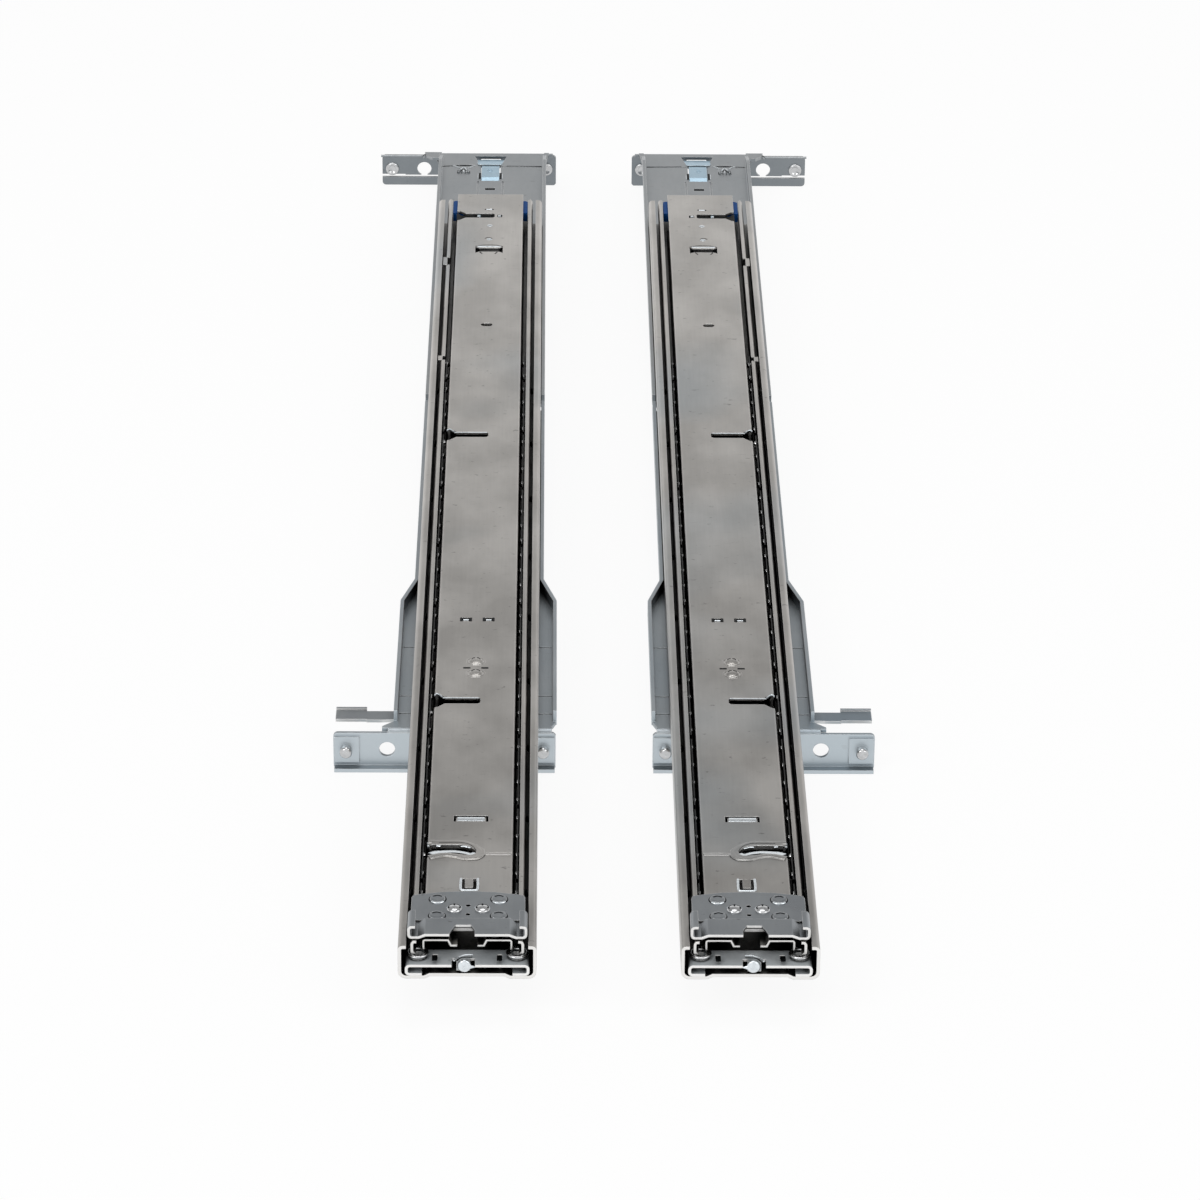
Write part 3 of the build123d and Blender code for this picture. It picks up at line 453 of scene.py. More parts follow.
@dataclass(frozen=True)
class MouldedNylon:
    """Blue glass-filled nylon, moulded: a soft satin with a fine spark-eroded grain, dark where shaded."""

    name: str
    base: str = "#0a4a8c"
    shade: str = "#083c76"
    roughness: float = 0.55
    specular: float = 0.15
    grain_mm: float = 0.5
    grain_depth: float = 0.15
    grain_height_mm: float = 0.1
    # Painted shade: darker where the surface sees little of the sky
    cavity: str = "#070d18"
    cavity_mm: float = 7.0
    cavity_levels: tuple[tuple[float, float], ...] = ((0.12, 0.95), (0.42, 0.0))

    def build(self) -> bpy.types.Material:
        """Makes the material.

        Returns:
            The finished material.
        """
        material, tree, shader = new_material(self.name)
        where = add_node(tree, "ShaderNodeTexCoord").outputs["Object"]
        noise = add_node(
            tree, "ShaderNodeTexNoise", None, Vector=where, Scale=1 / (self.grain_mm * MM), Detail=2.0,
        ).outputs[0]
        colour = add_node(
            tree, "ShaderNodeMix", BLEND, i0=noise, i6=linear(self.base), i7=linear(self.shade),
        ).outputs[MIXED]
        openness = add_node(
            tree, "ShaderNodeAmbientOcclusion", {"samples": 8}, Distance=self.cavity_mm * MM,
        ).outputs["AO"]
        colour = tinted(tree, colour, openness, self.cavity_levels, self.cavity)
        tree.links.new(colour, shader.inputs["Base Color"])
        shader.inputs["Roughness"].default_value = self.roughness
        shader.inputs["Specular IOR Level"].default_value = self.specular
        bump = add_node(
            tree, "ShaderNodeBump", None,
            Strength=self.grain_depth, Distance=self.grain_height_mm * MM, Height=noise,
        )
        tree.links.new(bump.outputs[0], shader.inputs["Normal"])
        return material


class Finishes:
    """The finishes of the rails, made once and shared."""

    def __init__(self) -> None:
        """Makes every material."""
        # Warm silvery grey of rolled members, with a painted falloff of light that darkens it towards the
        # rear, and painted black shade in the narrow gaps
        self.slide = ZincPlate(
            "rolled_steel_bright_zinc", "#a9a6a2", "#c4c1bd", "#97a4ad", drift=(0.78, 1.16),
        ).build()
        # Cooler, more even grey of the pressed rear tray, with painted pale bluish light on its upright
        # flange and sheared ends
        self.bracket = ZincPlate(
            "pressed_steel_blue_zinc", "#9ea5aa", "#adb3b7", "#8a9aa5", roughness=0.42,
            grain_mm=(2.0, 8.0), mark_share=0.25, cut_end="#cdd7dd", cut_share=0.6, cavity_mm=5.0,
            cavity_range=(0.2, 0.46),
        ).build()
        # The same even grey on the front bracket, with painted shade on its upright flange and sheared ends
        self.front_bracket = ZincPlate(
            "pressed_steel_front_bracket", "#a2a6a9", "#b0b3b5", "#909ba2", roughness=0.42,
            grain_mm=(2.0, 8.0), mark_share=0.25, cut_end="#656d73", cut_share=0.6,
            cavity_mm=5.0, cavity_range=(0.2, 0.46),
        ).build()
        # A dull, nearly matt plate that stays mid-grey between its bright neighbours
        self.socket = ZincPlate(
            "pressed_socket_dull_zinc", "#9ba0a3", "#a6aaac", "#8a959c", roughness=0.5,
            grain_mm=(1.2, 6.0), metal=0.25, cavity_mm=3.0,
        ).build()
        # Dark, fairly sharp reflections with blue patches on the stamped end plate
        self.plate = ZincPlate(
            "stamped_steel_dark_zinc", "#888c90", "#969a9d", "#6f8798", roughness=0.3, film_share=0.6,
            grain_mm=(1.2, 6.0),
        ).build()
        # A pale sky-blue film on the thin springs
        self.spring = ZincPlate(
            "spring_steel_zinc", "#9db6c6", "#a9c2d1", "#86a9c0", roughness=0.35, film_share=0.7,
            cut_share=0.4, metal=0.5, cavity_mm=2.0,
        ).build()
        # Near-black strips, painted dark for the shade in the gaps, so that only the balls shine there
        self.cage = ZincPlate(
            "thin_greased_strip", "#3a3a3a", "#464646", "#3c4043", roughness=0.5, edge_share=0.2,
            cut_share=0.0,
        ).build()
        # Bright turned steel with soft highlights
        self.pin = TurnedSteel("turned_bright_steel").build()
        # Mirror-bright balls, and darker ones painted dark for the shade in the outer gaps
        self.ball = TurnedSteel("polished_ball_steel", "#e6e6e6", 0.08).build()
        self.greased_ball = TurnedSteel("greased_ball_steel", "#3c3c3c", 0.3).build()
        # Thin white painted glints on pressed edges, and thin lines of painted shade in the folds
        self.burnished = TurnedSteel("burnished_pressed_edge", "#e4eaee", 0.28).build()
        self.seam = TurnedSteel("grease_filled_seam", "#16181a", 0.5).build()
        # Deep satin blue
        self.nylon = MouldedNylon("moulded_blue_nylon").build()

    def of_slot(self, slot: str) -> bpy.types.Material:
        """Picks the finish of a material slot.

        Args:
            slot: One of the record's material slots.

        Returns:
            The slot's finish.
        """
        return {
            "slide_steel": self.slide,
            "bracket_steel": self.bracket,
            "pin_steel": self.pin,
            "spring_steel": self.spring,
            "cage_steel": self.cage,
            "ball_steel": self.ball,
            "blue_plastic": self.nylon,
        }[slot]


def mesh_piece(
    name: str, vertices: np.ndarray, faces: np.ndarray, material: bpy.types.Material, smooth: bool = True
) -> bpy.types.Object:
    """Makes one object from arrays of corners and four-sided faces.

    Args:
        name: The piece's name.
        vertices: Rows of X, Y and Z in metres.
        faces: Rows of four corner numbers.
        material: The piece's finish.
        smooth: Whether the faces shade smoothly.

    Returns:
        The new object, linked to the scene.
    """
    mesh = bpy.data.meshes.new(name)
    mesh.from_pydata(vertices.tolist(), [], faces.tolist())
    mesh.polygons.foreach_set("use_smooth", np.full(len(faces), smooth))
    mesh.materials.append(material)
    mesh.update()
    piece = bpy.data.objects.new(name, mesh)
    bpy.context.scene.collection.objects.link(piece)
    return piece


def turned_surface(
    profile: np.ndarray, centre: tuple[float, float, float], axis: str, sections: int = 40
) -> Surface:
    """Works out a turned surface from its profile.

    The surface is P(i, t) = centre + h(i) * axis + r(i) * (cos t * u + sin t * v), on a grid of profile
    points by sections. The profile starts and ends at radius zero, so the shape is closed.

    Args:
        profile: Rows of radius and height along the axis, from the foot to the tip.
        centre: The foot's place in rail-local millimetres.
        axis: One of +Z, +Y and -Y.
        sections: How many sections go round.

    Returns:
        Corners in rail-local millimetres and faces of four corners.
    """
    turn = np.linspace(0.0, 2 * math.pi, sections, endpoint=False)
    radius = profile[:, 0][:, None]
    height = np.broadcast_to(profile[:, 1][:, None], (len(profile), sections))
    first = radius * np.cos(turn)
    second = radius * np.sin(turn)
    if axis == "+Z":
        points = np.stack([first, second, height], axis=-1)
    elif axis == "+Y":
        points = np.stack([second, height, first], axis=-1)
    else:
        points = np.stack([first, -height, second], axis=-1)
    points = points + np.asarray(centre)
    row = np.arange(len(profile) - 1)[:, None] * sections
    step = np.arange(sections)[None, :]
    following = (step + 1) % sections
    above = row + sections
    faces = np.stack([row + step, row + following, above + following, above + step], axis=-1)
    return points.reshape(-1, 3), faces.reshape(-1, 4)


def dome_profile(radius: float, height: float, foot: float = 0.3, steps: int = 7) -> np.ndarray:
    """Works out a low dome's profile, whose height falls off as a quarter ellipse towards the rim.

    Args:
        radius: The rim's radius.
        height: The dome's height.
        foot: How far it reaches down into the sheet.
        steps: How many points the curve has.

    Returns:
        Rows of radius and height, from the foot to the tip.
    """
    angle = np.linspace(0.0, math.pi / 2, steps)
    arc = np.stack([radius * np.cos(angle), height * np.sin(angle)], axis=-1)
    return np.vstack([[[0.0, -foot], [radius, -foot]], arc])


def smooth_path(points: Sequence[Sequence[float]], per_run: int = 6) -> np.ndarray:
    """A curve through the given points.

    Between two neighbours it is the cubic whose slope at each point is half the chord between the points
    on either side of it.

    Args:
        points: Rows of x, station and height.
        per_run: How many steps each run is cut into.

    Returns:
        Rows along the curve.
    """
    given = np.asarray(points, dtype=float)
    padded = np.vstack([2 * given[0] - given[1], given, 2 * given[-1] - given[-2]])
    t = np.linspace(0.0, 1.0, per_run, endpoint=False)[None, :, None]
    a, b, c, d = (padded[i : len(given) - 1 + i, None, :] for i in range(4))
    curve = 0.5 * (2 * b + (c - a) * t + (2 * a - 5 * b + 4 * c - d) * t**2 + (3 * b - a - 3 * c + d) * t**3)
    return np.vstack([curve.reshape(-1, given.shape[1]), given[-1:]])


def round_section(half_width: float, half_height: float, sides: int = 16) -> np.ndarray:
    """Works out an ellipse: half width times the cosine sideways, half height times the sine upwards.

    Args:
        half_width: Half the width.
        half_height: Half the height.
        sides: How many corners it has.

    Returns:
        Rows of sideways and upward distance.
    """
    turn = np.linspace(0.0, 2 * math.pi, sides, endpoint=False)
    return np.stack([half_width * np.cos(turn), half_height * np.sin(turn)], axis=-1)


def swept_surface(
    path: np.ndarray, section: np.ndarray, ends: tuple[float, float] = (1.0, 1.0)
) -> Surface:
    """Carries a closed section along a path that lies nearly level.

    The surface is P(s, t) = path(s) + k(s) * (u(t) * side(s) + w(t) * up), where side is the path's
    direction turned a quarter to the right. k runs evenly between the two end sizes, and is nought just at
    both ends, so that the shape is closed.

    Args:
        path: Rows of x, station and height in millimetres.
        section: Rows of sideways and upward distance, a closed loop.
        ends: Size of the section at the first and the last point.

    Returns:
        Corners in rail-local millimetres and faces of four corners.
    """
    direction = np.gradient(path, axis=0)
    direction[:, 2] = 0.0
    direction /= np.linalg.norm(direction, axis=1, keepdims=True)
    side = np.stack([direction[:, 1], -direction[:, 0], np.zeros(len(path))], axis=-1)
    size = np.linspace(ends[0], ends[1], len(path))
    path = np.vstack([path[:1], path, path[-1:]])
    side = np.vstack([side[:1], side, side[-1:]])
    size = np.concatenate([[0.0], size, [0.0]])[:, None, None]
    up = np.array([0.0, 0.0, 1.0])
    offset = section[None, :, 0, None] * side[:, None, :] + section[None, :, 1, None] * up
    points = path[:, None, :] + size * offset
    count = len(section)
    row = np.arange(len(path) - 1)[:, None] * count
    step = np.arange(count)[None, :]
    following = (step + 1) % count
    above = row + count
    faces = np.stack([row + step, row + following, above + following, above + step], axis=-1)
    return points.reshape(-1, 3), faces.reshape(-1, 4)


@dataclass
class PieceMaker:
    """Joins surfaces into one piece of one rail and places it on its body."""

    side: Side
    finishes: Finishes

    def join(
        self,
        name: str,
        body: str,
        material: bpy.types.Material,
        slot: str,
        surfaces: Sequence[Surface],
        replaced: Sequence[str] = (),
    ) -> bpy.types.Object:
        """Makes one piece out of several closed surfaces.

        Args:
            name: The piece's own name, without the rail's.
            body: The body it rides on, full name.
            material: Its finish.
            slot: The record's material slot; not used.
            surfaces: Corners and faces of each surface.
            replaced: CAD nodes of this rail that it stands for, without the rail's name.

        Returns:
            The new object.
        """
        corners: list[np.ndarray] = []
        faces: list[np.ndarray] = []
        count = 0
        for points, quads in surfaces:
            corners.append(points)
            faces.append(quads + count)
            count += len(points)
        piece = mesh_piece(
            self.side.node(name), self.side.place(np.vstack(corners)), np.vstack(faces), material
        )
        self._turn_outwards(piece)
        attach(piece, body)
        if replaced:
            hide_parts(*[self.side.node(node) for node in replaced])
        LOG.info("piece %s rides on %s", piece.name, body)
        return piece

    @staticmethod
    def _turn_outwards(piece: bpy.types.Object) -> None:
        """Merges the poles, points every face outwards and keeps the creases sharp.

        Args:
            piece: The object whose mesh is put right.
        """
        shape = bmesh.new()
        shape.from_mesh(piece.data)
        bmesh.ops.remove_doubles(shape, verts=shape.verts, dist=WELD_MM * MM)
        bmesh.ops.recalc_face_normals(shape, faces=shape.faces)
        shape.to_mesh(piece.data)
        shape.free()
        piece.data.polygons.foreach_set("use_smooth", np.full(len(piece.data.polygons), True))
        piece.data.set_sharp_from_angle(angle=math.radians(CREASE_DEG))


@dataclass
class RackPins:
    """Locating pins of both rack flanges, headed behind the flange."""

    maker: PieceMaker
    radius: float = 2.4
    reach: float = 3.4
    neck_radius: float = 1.9
    head_radius: float = 3.4
    head_height: float = 1.0
    sheet: float = 1.5
    front_face: float = 627.0
    rear_face: float = 3.0
    pad_raise: float = 0.8
    places: tuple[float, float] = (-49.9, 26.3)

    def profile(self, back: float) -> np.ndarray:
        """Works out a pin from its hollowed, domed head behind the flange to its chamfered tip.

        Args:
            back: Distance from the flange's back to the mounting face.

        Returns:
            Rows of radius and distance from the mounting face.
        """
        r = self.head_radius
        h = self.head_height
        head = np.array([
            [0.0, -back - 0.25 * h], [0.42 * r, -back - 0.3 * h], [0.55 * r, -back - 0.7 * h],
            [0.66 * r, -back - 0.98 * h], [0.78 * r, -back - h], [0.9 * r, -back - 0.8 * h],
            [0.98 * r, -back - 0.4 * h],
        ])
        tip = self.reach
        rest = [
            [r, -back],
            [self.neck_radius, -back + 0.05],
            [self.neck_radius, -0.05],
            [self.radius, 0.0],
            [self.radius, tip - 0.9],
            [self.radius - 0.5, tip - 0.1],
            [self.radius - 0.8, tip],
            [0.0, tip],
        ]
        return np.vstack([head, rest])

    def build(self) -> None:
        """Makes the front and the rear pins."""
        side = self.maker.side
        pin = self.maker.finishes.pin
        front = [
            turned_surface(self.profile(self.sheet), (x, self.front_face, PIN_HEIGHT), "+Y")
            for x in self.places
        ]
        self.maker.join("front_pins_turned", "rack_side", pin, "pin_steel", front, ["front_pins"])
        face = self.rear_face - self.pad_raise
        back = self.sheet + self.pad_raise
        rear = [turned_surface(self.profile(back), (x, face, PIN_HEIGHT), "-Y") for x in self.places]
        self.maker.join("rear_pins_turned", side.node("rear_bracket"), pin, "pin_steel", rear, ["rear_pins"])


@dataclass
class EndPlateRivets:
    """Rivets and round dimples of the end plate, and domes and rivet ends of the inner member's web."""

    maker: PieceMaker
    rivet_radius: float = 2.75
    rivet_height: float = 1.15
    dimple_radius: float = 2.95
    dimple_height: float = 0.5
    dome_radius: float = 2.95
    dome_height: float = 1.0
    ring_gap: float = 0.9
    dimple_stations: tuple[float, float] = (-157.1, -169.2)
    spot_radius: float = 1.3
    spot_height: float = 0.3
    spot_stations: tuple[float, float] = (477.2, 494.7)

    def rivet_profile(self) -> np.ndarray:
        """Works out a domed head on its shank.

        Returns:
            Rows of radius and height.
        """
        shank = np.array([[0.0, -1.15], [1.7, -1.15], [1.75, -0.02]])
        head = dome_profile(self.rivet_radius, self.rivet_height, 0.02)[1:]
        return np.vstack([shank, head])

    def dimple_profile(self) -> np.ndarray:
        """Works out a dimple's soft raised rim and shallow hollow.

        Returns:
            Rows of radius and height.
        """
        r = self.dimple_radius
        h = self.dimple_height
        return np.array([
            [0.0, -0.25], [r, -0.25], [r, 0.0], [r - 0.15, 0.45 * h], [r - 0.45, 0.8 * h], [r - 0.8, h],
            [r - 1.6, 0.98 * h], [0.0, 0.95 * h],
        ])

    def ring_profile(self) -> np.ndarray:
        """Works out the faint raised ring pressed round a dome.

        Returns:
            Rows of radius and height.
        """
        r = self.dome_radius + self.ring_gap
        return np.array([
            [0.0, -0.2], [r, -0.2], [r, 0.0], [r - 0.2, 0.12], [r - 0.45, 0.14], [r - 0.7, 0.05],
            [0.0, 0.04],
        ])

    def build(self) -> None:
        """Makes the end plate's rivets and dimples and the web's domes."""
        maker = self.maker
        body = maker.side.node("inner")
        rivet = self.rivet_profile()
        rivets = [turned_surface(rivet, (x, RIVET_STATION, PLATE_TOP), "+Z") for x in RIVET_SIDES]
        maker.join("end_plate_flared_rivets", body, maker.finishes.pin, "pin_steel", rivets,
                   ["end_plate_rivets"])
        places = [(x, y) for x in DIMPLE_SIDES for y in self.dimple_stations]
        dimples = [turned_surface(self.dimple_profile(), (x, y, PLATE_TOP), "+Z") for x, y in places]
        maker.join("end_plate_dimples", body, maker.finishes.plate, "slide_steel", dimples)
        dome = dome_profile(self.dome_radius, self.dome_height)
        domes = [
            turned_surface(profile, (0.0, y, INNER_TOP), "+Z")
            for profile in (dome, self.ring_profile())
            for y in DOME_STATIONS
        ]
        maker.join("web_domes", body, maker.finishes.slide, "slide_steel", domes)
        # The rivet ends take the near-white glint finish: painted highlights
        spot = dome_profile(self.spot_radius, self.spot_height)
        spots = [turned_surface(spot, (0.0, y, INNER_TOP), "+Z") for y in self.spot_stations]
        maker.join("web_rivet_ends", body, maker.finishes.burnished, "pin_steel", spots)


@dataclass
class HookSlotGuide:
    """Soft bead round the rear drop-in slot, its sloping lip, the rib beside it and a window's rim."""

    maker: PieceMaker
    bead_half: float = 1.5
    bead_rise: float = 0.5
    rib_half: float = 0.7
    rib_rise: float = 0.45
    rim_half: float = 0.5
    rim_rise: float = 0.4
    lip_width: float = 2.7
    bead_path: tuple[Spot, ...] = (
        (-15.3, -112.4), (-10.3, -112.7), (-5.3, -112.5), (-2.0, -113.2), (0.8, -115.3), (3.0, -117.7),
        (4.0, -120.3), (3.7, -122.7), (2.4, -124.3), (0.4, -124.8), (-2.0, -124.4), (-4.6, -123.1),
        (-8.0, -122.3), (-11.5, -122.6), (-14.8, -124.2),
    )
    rib_path: tuple[Spot, ...] = ((5.4, -120.7), (9.0, -120.5), (15.2, -120.6))
    lip_path: tuple[Spot, ...] = (
        (-13.6, -122.4), (-12.4, -121.4), (-9.7, -120.8), (-5.9, -120.5), (-2.6, -121.2), (-0.5, -122.1),
        (1.2, -121.9), (2.0, -120.8),
    )
    rim_path: tuple[Spot, ...] = (
        (-2.9, -139.9), (-3.0, -144.0), (-2.9, -147.5), (-2.3, -148.4), (0.1, -148.6), (2.6, -148.4),
        (3.1, -147.5), (3.2, -144.0), (3.1, -139.9),
    )

    def lip_section(self) -> np.ndarray:
        """Works out a lip that slopes gently down towards the slot and then turns down.

        Returns:
            Rows of sideways and upward distance.
        """
        w = self.lip_width
        return np.array([
            [0.4, 0.4], [-0.3 * w, 0.3], [-0.8 * w, 0.08], [-w, -0.15], [-w, -1.1], [-0.85 * w, -1.1],
            [-0.7 * w, -0.3], [0.4, -0.3],
        ])

    def build(self) -> None:
        """Makes the bead with its rib, and the lip and the rim of the square window in the glint finish, as
        painted highlights.
        """
        maker = self.maker
        body = maker.side.node("inner")
        bead, rib, lip, frame = (
            smooth_path([(x, y, INNER_TOP) for x, y in path])
            for path in (self.bead_path, self.rib_path, self.lip_path, self.rim_path)
        )
        surfaces = [
            swept_surface(bead, round_section(self.bead_half, self.bead_rise)),
            swept_surface(rib, round_section(self.rib_half, self.rib_rise), (0.7, 0.8)),
        ]
        maker.join("hook_slot_bead", body, maker.finishes.slide, "slide_steel", surfaces)
        # The lip and the window's rim are near-white: painted highlights
        lip_surface = swept_surface(lip, self.lip_section(), (1.0, 0.55))
        maker.join("hook_slot_lip", body, maker.finishes.burnished, "slide_steel", [lip_surface])
        rim = swept_surface(frame, round_section(self.rim_half, self.rim_rise))
        maker.join("square_window_rim", body, maker.finishes.burnished, "pin_steel", [rim])


@dataclass
class PressedEdges:
    """Fine lines of the pressings: painted highlights on edges that catch the light, and lines of painted
    shade in folds and slots.

    Each add_ method adds the lines of painted shade of one form to the shade lines, and its painted
    highlights to the bright lines.
    """

    maker: PieceMaker
    tongue_end: tuple[float, float, float] = (-1.0, -188.4, 22.2)
    tongue_radius: float = 2.4

    @staticmethod
    def line(
        points: Sequence[Spot], height: float, half: float = 0.28, rise: float = 0.16,
        ends: tuple[float, float] = (0.6, 0.6),
    ) -> Surface:
        """Works out a fine bead along a curve.

        Args:
            points: Places along the line.
            height: Height of the sheet that it lies on.
            half: Half its width.
            rise: How far it stands up.
            ends: Its relative size at both ends.

        Returns:
            Corners and faces.
        """
        path = smooth_path([(x, y, height) for x, y in points])
        return swept_surface(path, round_section(half, rise, 8), ends)

    def arc(
        self, centre: Spot, radii: tuple[float, float], turns: tuple[float, float],
        height: float, half: float = 0.28, rise: float = 0.16,
    ) -> Surface:
        """Works out a fine bead along part of an ellipse.

        Args:
            centre: The ellipse's centre.
            radii: Its half width and half length.
            turns: The angles of both ends in degrees, counted from x towards the front.
            height: Height of the sheet that it lies on.
            half: Half the bead's width.
            rise: How far it stands up.

        Returns:
            Corners and faces.
        """
        angles = np.radians(np.linspace(turns[0], turns[1], 7))
        points = [
            (centre[0] + radii[0] * math.cos(a), centre[1] + radii[1] * math.sin(a)) for a in angles
        ]
        return self.line(points, height, half, rise)

    def build(self) -> None:
        """Makes the lines of the end plate, the web, the outer socket and the front windows."""
        maker = self.maker
        inner = maker.side.node("inner")
        painted_shade_lines: list[Surface] = []
        bright: list[Surface] = []
        self.add_dimples(painted_shade_lines, bright)
        self.add_rivets(painted_shade_lines, bright)
        self.add_hook_slot(painted_shade_lines, bright)
        self.add_windows(painted_shade_lines, bright)
        self.add_front(painted_shade_lines, bright)
        maker.join("web_grease_seams", inner, maker.finishes.seam, "slide_steel", painted_shade_lines)
        maker.join("web_burnished_edges", inner, maker.finishes.burnished, "slide_steel", bright)
        self.socket()

    def add_dimples(self, painted_shade_lines: list[Surface], bright: list[Surface]) -> None:
        """Adds painted shade on each dimple's sides and in the fold far inside it, and painted highlights on
        its rims.

        Args:
            painted_shade_lines: Lines of painted shade so far.
            bright: Bright lines so far.
        """
        top = PLATE_TOP
        for x in DIMPLE_SIDES:
            for y in (-157.2, -169.4):
                painted_shade_lines.append(self.arc((x, y), (3.0, 3.3), (-35.0, 60.0), top, 0.4, 0.25))
                painted_shade_lines.append(self.arc((x, y), (3.0, 3.3), (120.0, 215.0), top, 0.4, 0.25))
                fold = [(x - 1.65, y + 1.3), (x - 0.1, y + 2.0), (x + 1.5, y + 1.3)]
                painted_shade_lines.append(self.line(fold, top + 0.5, 0.5, 0.2))
                bright.append(self.arc((x, y), (2.6, 2.7), (220.0, 320.0), top + 0.1, 0.9, 0.6))
                bright.append(self.arc((x, y), (2.5, 3.2), (60.0, 120.0), top, 0.28, 0.3))

    def add_rivets(self, painted_shade_lines: list[Surface], bright: list[Surface]) -> None:
        """Adds the splits of each rivet's rolled head as lines of painted shade, and a painted highlight on
        its far rim.

        Args:
            painted_shade_lines: Lines of painted shade so far.
            bright: Bright lines so far.
        """
        top = PLATE_TOP
        y = RIVET_STATION
        for x in RIVET_SIDES:
            bright.append(self.arc((x, y), (2.75, 2.8), (15.0, 165.0), top + 0.1, 0.35, 0.35))
            for turns in ((18.0, 80.0), (100.0, 162.0)):
                painted_shade_lines.append(self.arc((x, y), (2.2, 2.2), turns, top + 0.62, 0.34, 0.3))
            painted_shade_lines.append(self.line([(x, y + 1.8), (x, y + 0.3)], top + 1.05, 0.42, 0.2, (1.0, 0.3)))
            for sign in (-1, 1):
                split = [(x + sign * 2.3, y - 0.2), (x + sign * 1.2, y + 0.1)]
                painted_shade_lines.append(self.line(split, top + 0.75, 0.5, 0.35, (1.0, 0.4)))

    def add_hook_slot(self, painted_shade_lines: list[Surface], bright: list[Surface]) -> None:
        """Adds painted shade along the hook slot's folds, painted glints on its far wall and burr, and a
        painted highlight on the long window's floor.

        Args:
            painted_shade_lines: Lines of painted shade so far.
            bright: Bright lines so far.
        """
        top = INNER_TOP
        fold = [
            (-11.4, -113.6), (-6.1, -113.5), (-2.8, -113.6), (-0.3, -114.9), (1.3, -117.0), (2.2, -119.4),
        ]
        painted_shade_lines.append(self.line(fold, top + 0.42, 0.24))
        outer = [(-4.4, -124.3), (-2.4, -125.7), (0.4, -126.2), (3.2, -125.6), (4.9, -123.6), (5.6, -121.0)]
        painted_shade_lines.append(self.line(outer, top, 0.3))
        painted_shade_lines.append(self.line([(6.3, -121.7), (10.5, -121.7), (13.8, -121.7)], top, 0.3))
        bright.append(self.line([(-3.4, -115.8), (-1.6, -115.9), (0.3, -116.8)], top + 0.1, 0.7, 0.4))
        bright.append(self.line([(-12.2, -115.4), (-10.8, -115.7)], top + 0.1, 0.7, 0.4))
        burr = [(-15.7, -114.0), (-15.0, -112.3), (-14.1, -112.6), (-12.9, -114.7)]
        bright.append(self.line(burr, top, 0.4, 0.6))
        bright.append(self.line([(-15.3, -115.0), (-15.2, -116.4)], top, 0.7, 0.6))
        bright.append(self.line([(-5.0, -94.4), (5.0, -94.4)], top - 0.1, 1.9, 0.25, (0.8, 0.8)))

    def add_windows(self, painted_shade_lines: list[Surface], bright: list[Surface]) -> None:
        """Adds painted shade in the slits between the domes, about the domes and at the small windows'
        corners, and painted highlights in the small windows and along the plain slots' far edges and mouths.

        Args:
            painted_shade_lines: Lines of painted shade so far.
            bright: Bright lines so far.
        """
        top = INNER_TOP
        for sign in (-1, 1):
            painted_shade_lines.append(self.line([(sign * 2.1, 29.6), (sign * 4.9, 29.6)], top, 0.6, 0.15, (1.0, 1.0)))
            middle = sign * 4.5
            for x in (middle - 2.0, middle + 2.0):
                painted_shade_lines.append(self.line([(x, 71.0), (x, 74.0)], top - 0.1, 0.5, 0.2, (1.0, 1.0)))
            painted_shade_lines.append(self.line([(middle - 2.0, 74.2), (middle + 2.0, 74.2)], top - 0.1, 0.4, 0.2))
            bright.append(self.line([(middle - 1.1, 72.4), (middle + 1.1, 72.4)], top - 0.1, 0.7, 0.3))
        for y in DOME_STATIONS:
            painted_shade_lines.append(self.arc((0.0, y), (3.0, 3.0), (25.0, 155.0), top + 0.05, 0.22))
            for turns in ((100.0, 165.0), (15.0, 80.0)):
                painted_shade_lines.append(self.arc((0.0, y), (1.7, 1.6), turns, top + 0.9, 0.22))
        for y in (1.7, 253.0):
            far = [(-12.4, y + 2.3), (-5.0, y + 2.3), (1.7, y + 2.3)]
            bright.append(self.line(far, top - 0.1, 0.55, 0.35))
            burr = [(-15.6, y + 3.6), (-15.0, y + 5.4), (-13.9, y + 5.0), (-12.6, y + 2.7)]
            bright.append(self.line(burr, top, 0.5, 0.5))

    def add_front(self, painted_shade_lines: list[Surface], bright: list[Surface]) -> None:
        """Adds painted highlights on the lips of the small windows near the front end, and painted shade
        about them and in the front slot.

        Args:
            painted_shade_lines: Lines of painted shade so far.
            bright: Bright lines so far.
        """
        top = INNER_TOP
        bright.append(self.line([(-5.4, 468.3), (0.0, 468.1), (5.4, 468.3)], top, 0.6, 0.4, (0.8, 0.8)))
        painted_shade_lines.append(self.line([(-5.6, 466.6), (5.6, 466.6)], top - 0.3, 1.1, 0.2, (1.0, 1.0)))
        brow = [(-6.4, 468.4), (-3.4, 469.9), (0.0, 470.2), (3.4, 469.9), (6.4, 468.4)]
        painted_shade_lines.append(self.line(brow, top, 0.4))
        painted_shade_lines.append(self.line([(-4.2, 461.5), (-3.2, 459.3)], top, 0.45, 0.2))
        painted_shade_lines.append(self.line([(3.8, 461.5), (2.8, 459.3)], top, 0.45, 0.2))
        bright.append(self.line([(-1.9, 515.4), (0.9, 515.4)], top, 0.95, 0.3))
        painted_shade_lines.append(self.line([(-2.6, 515.3), (-1.9, 515.3)], top, 0.9, 0.2))
        painted_shade_lines.append(self.line([(0.9, 515.3), (1.6, 515.3)], top, 0.9, 0.2))
        bright.append(self.line([(3.7, 507.0), (5.1, 507.0)], top, 0.8, 0.3))
        painted_shade_lines.append(self.arc((-0.4, 477.0), (1.9, 2.4), (30.0, 150.0), top, 0.4))
        bright.append(self.line([(-5.9, 506.6), (-5.0, 506.6)], top, 1.5, 0.3))
        deep = top - 1.25
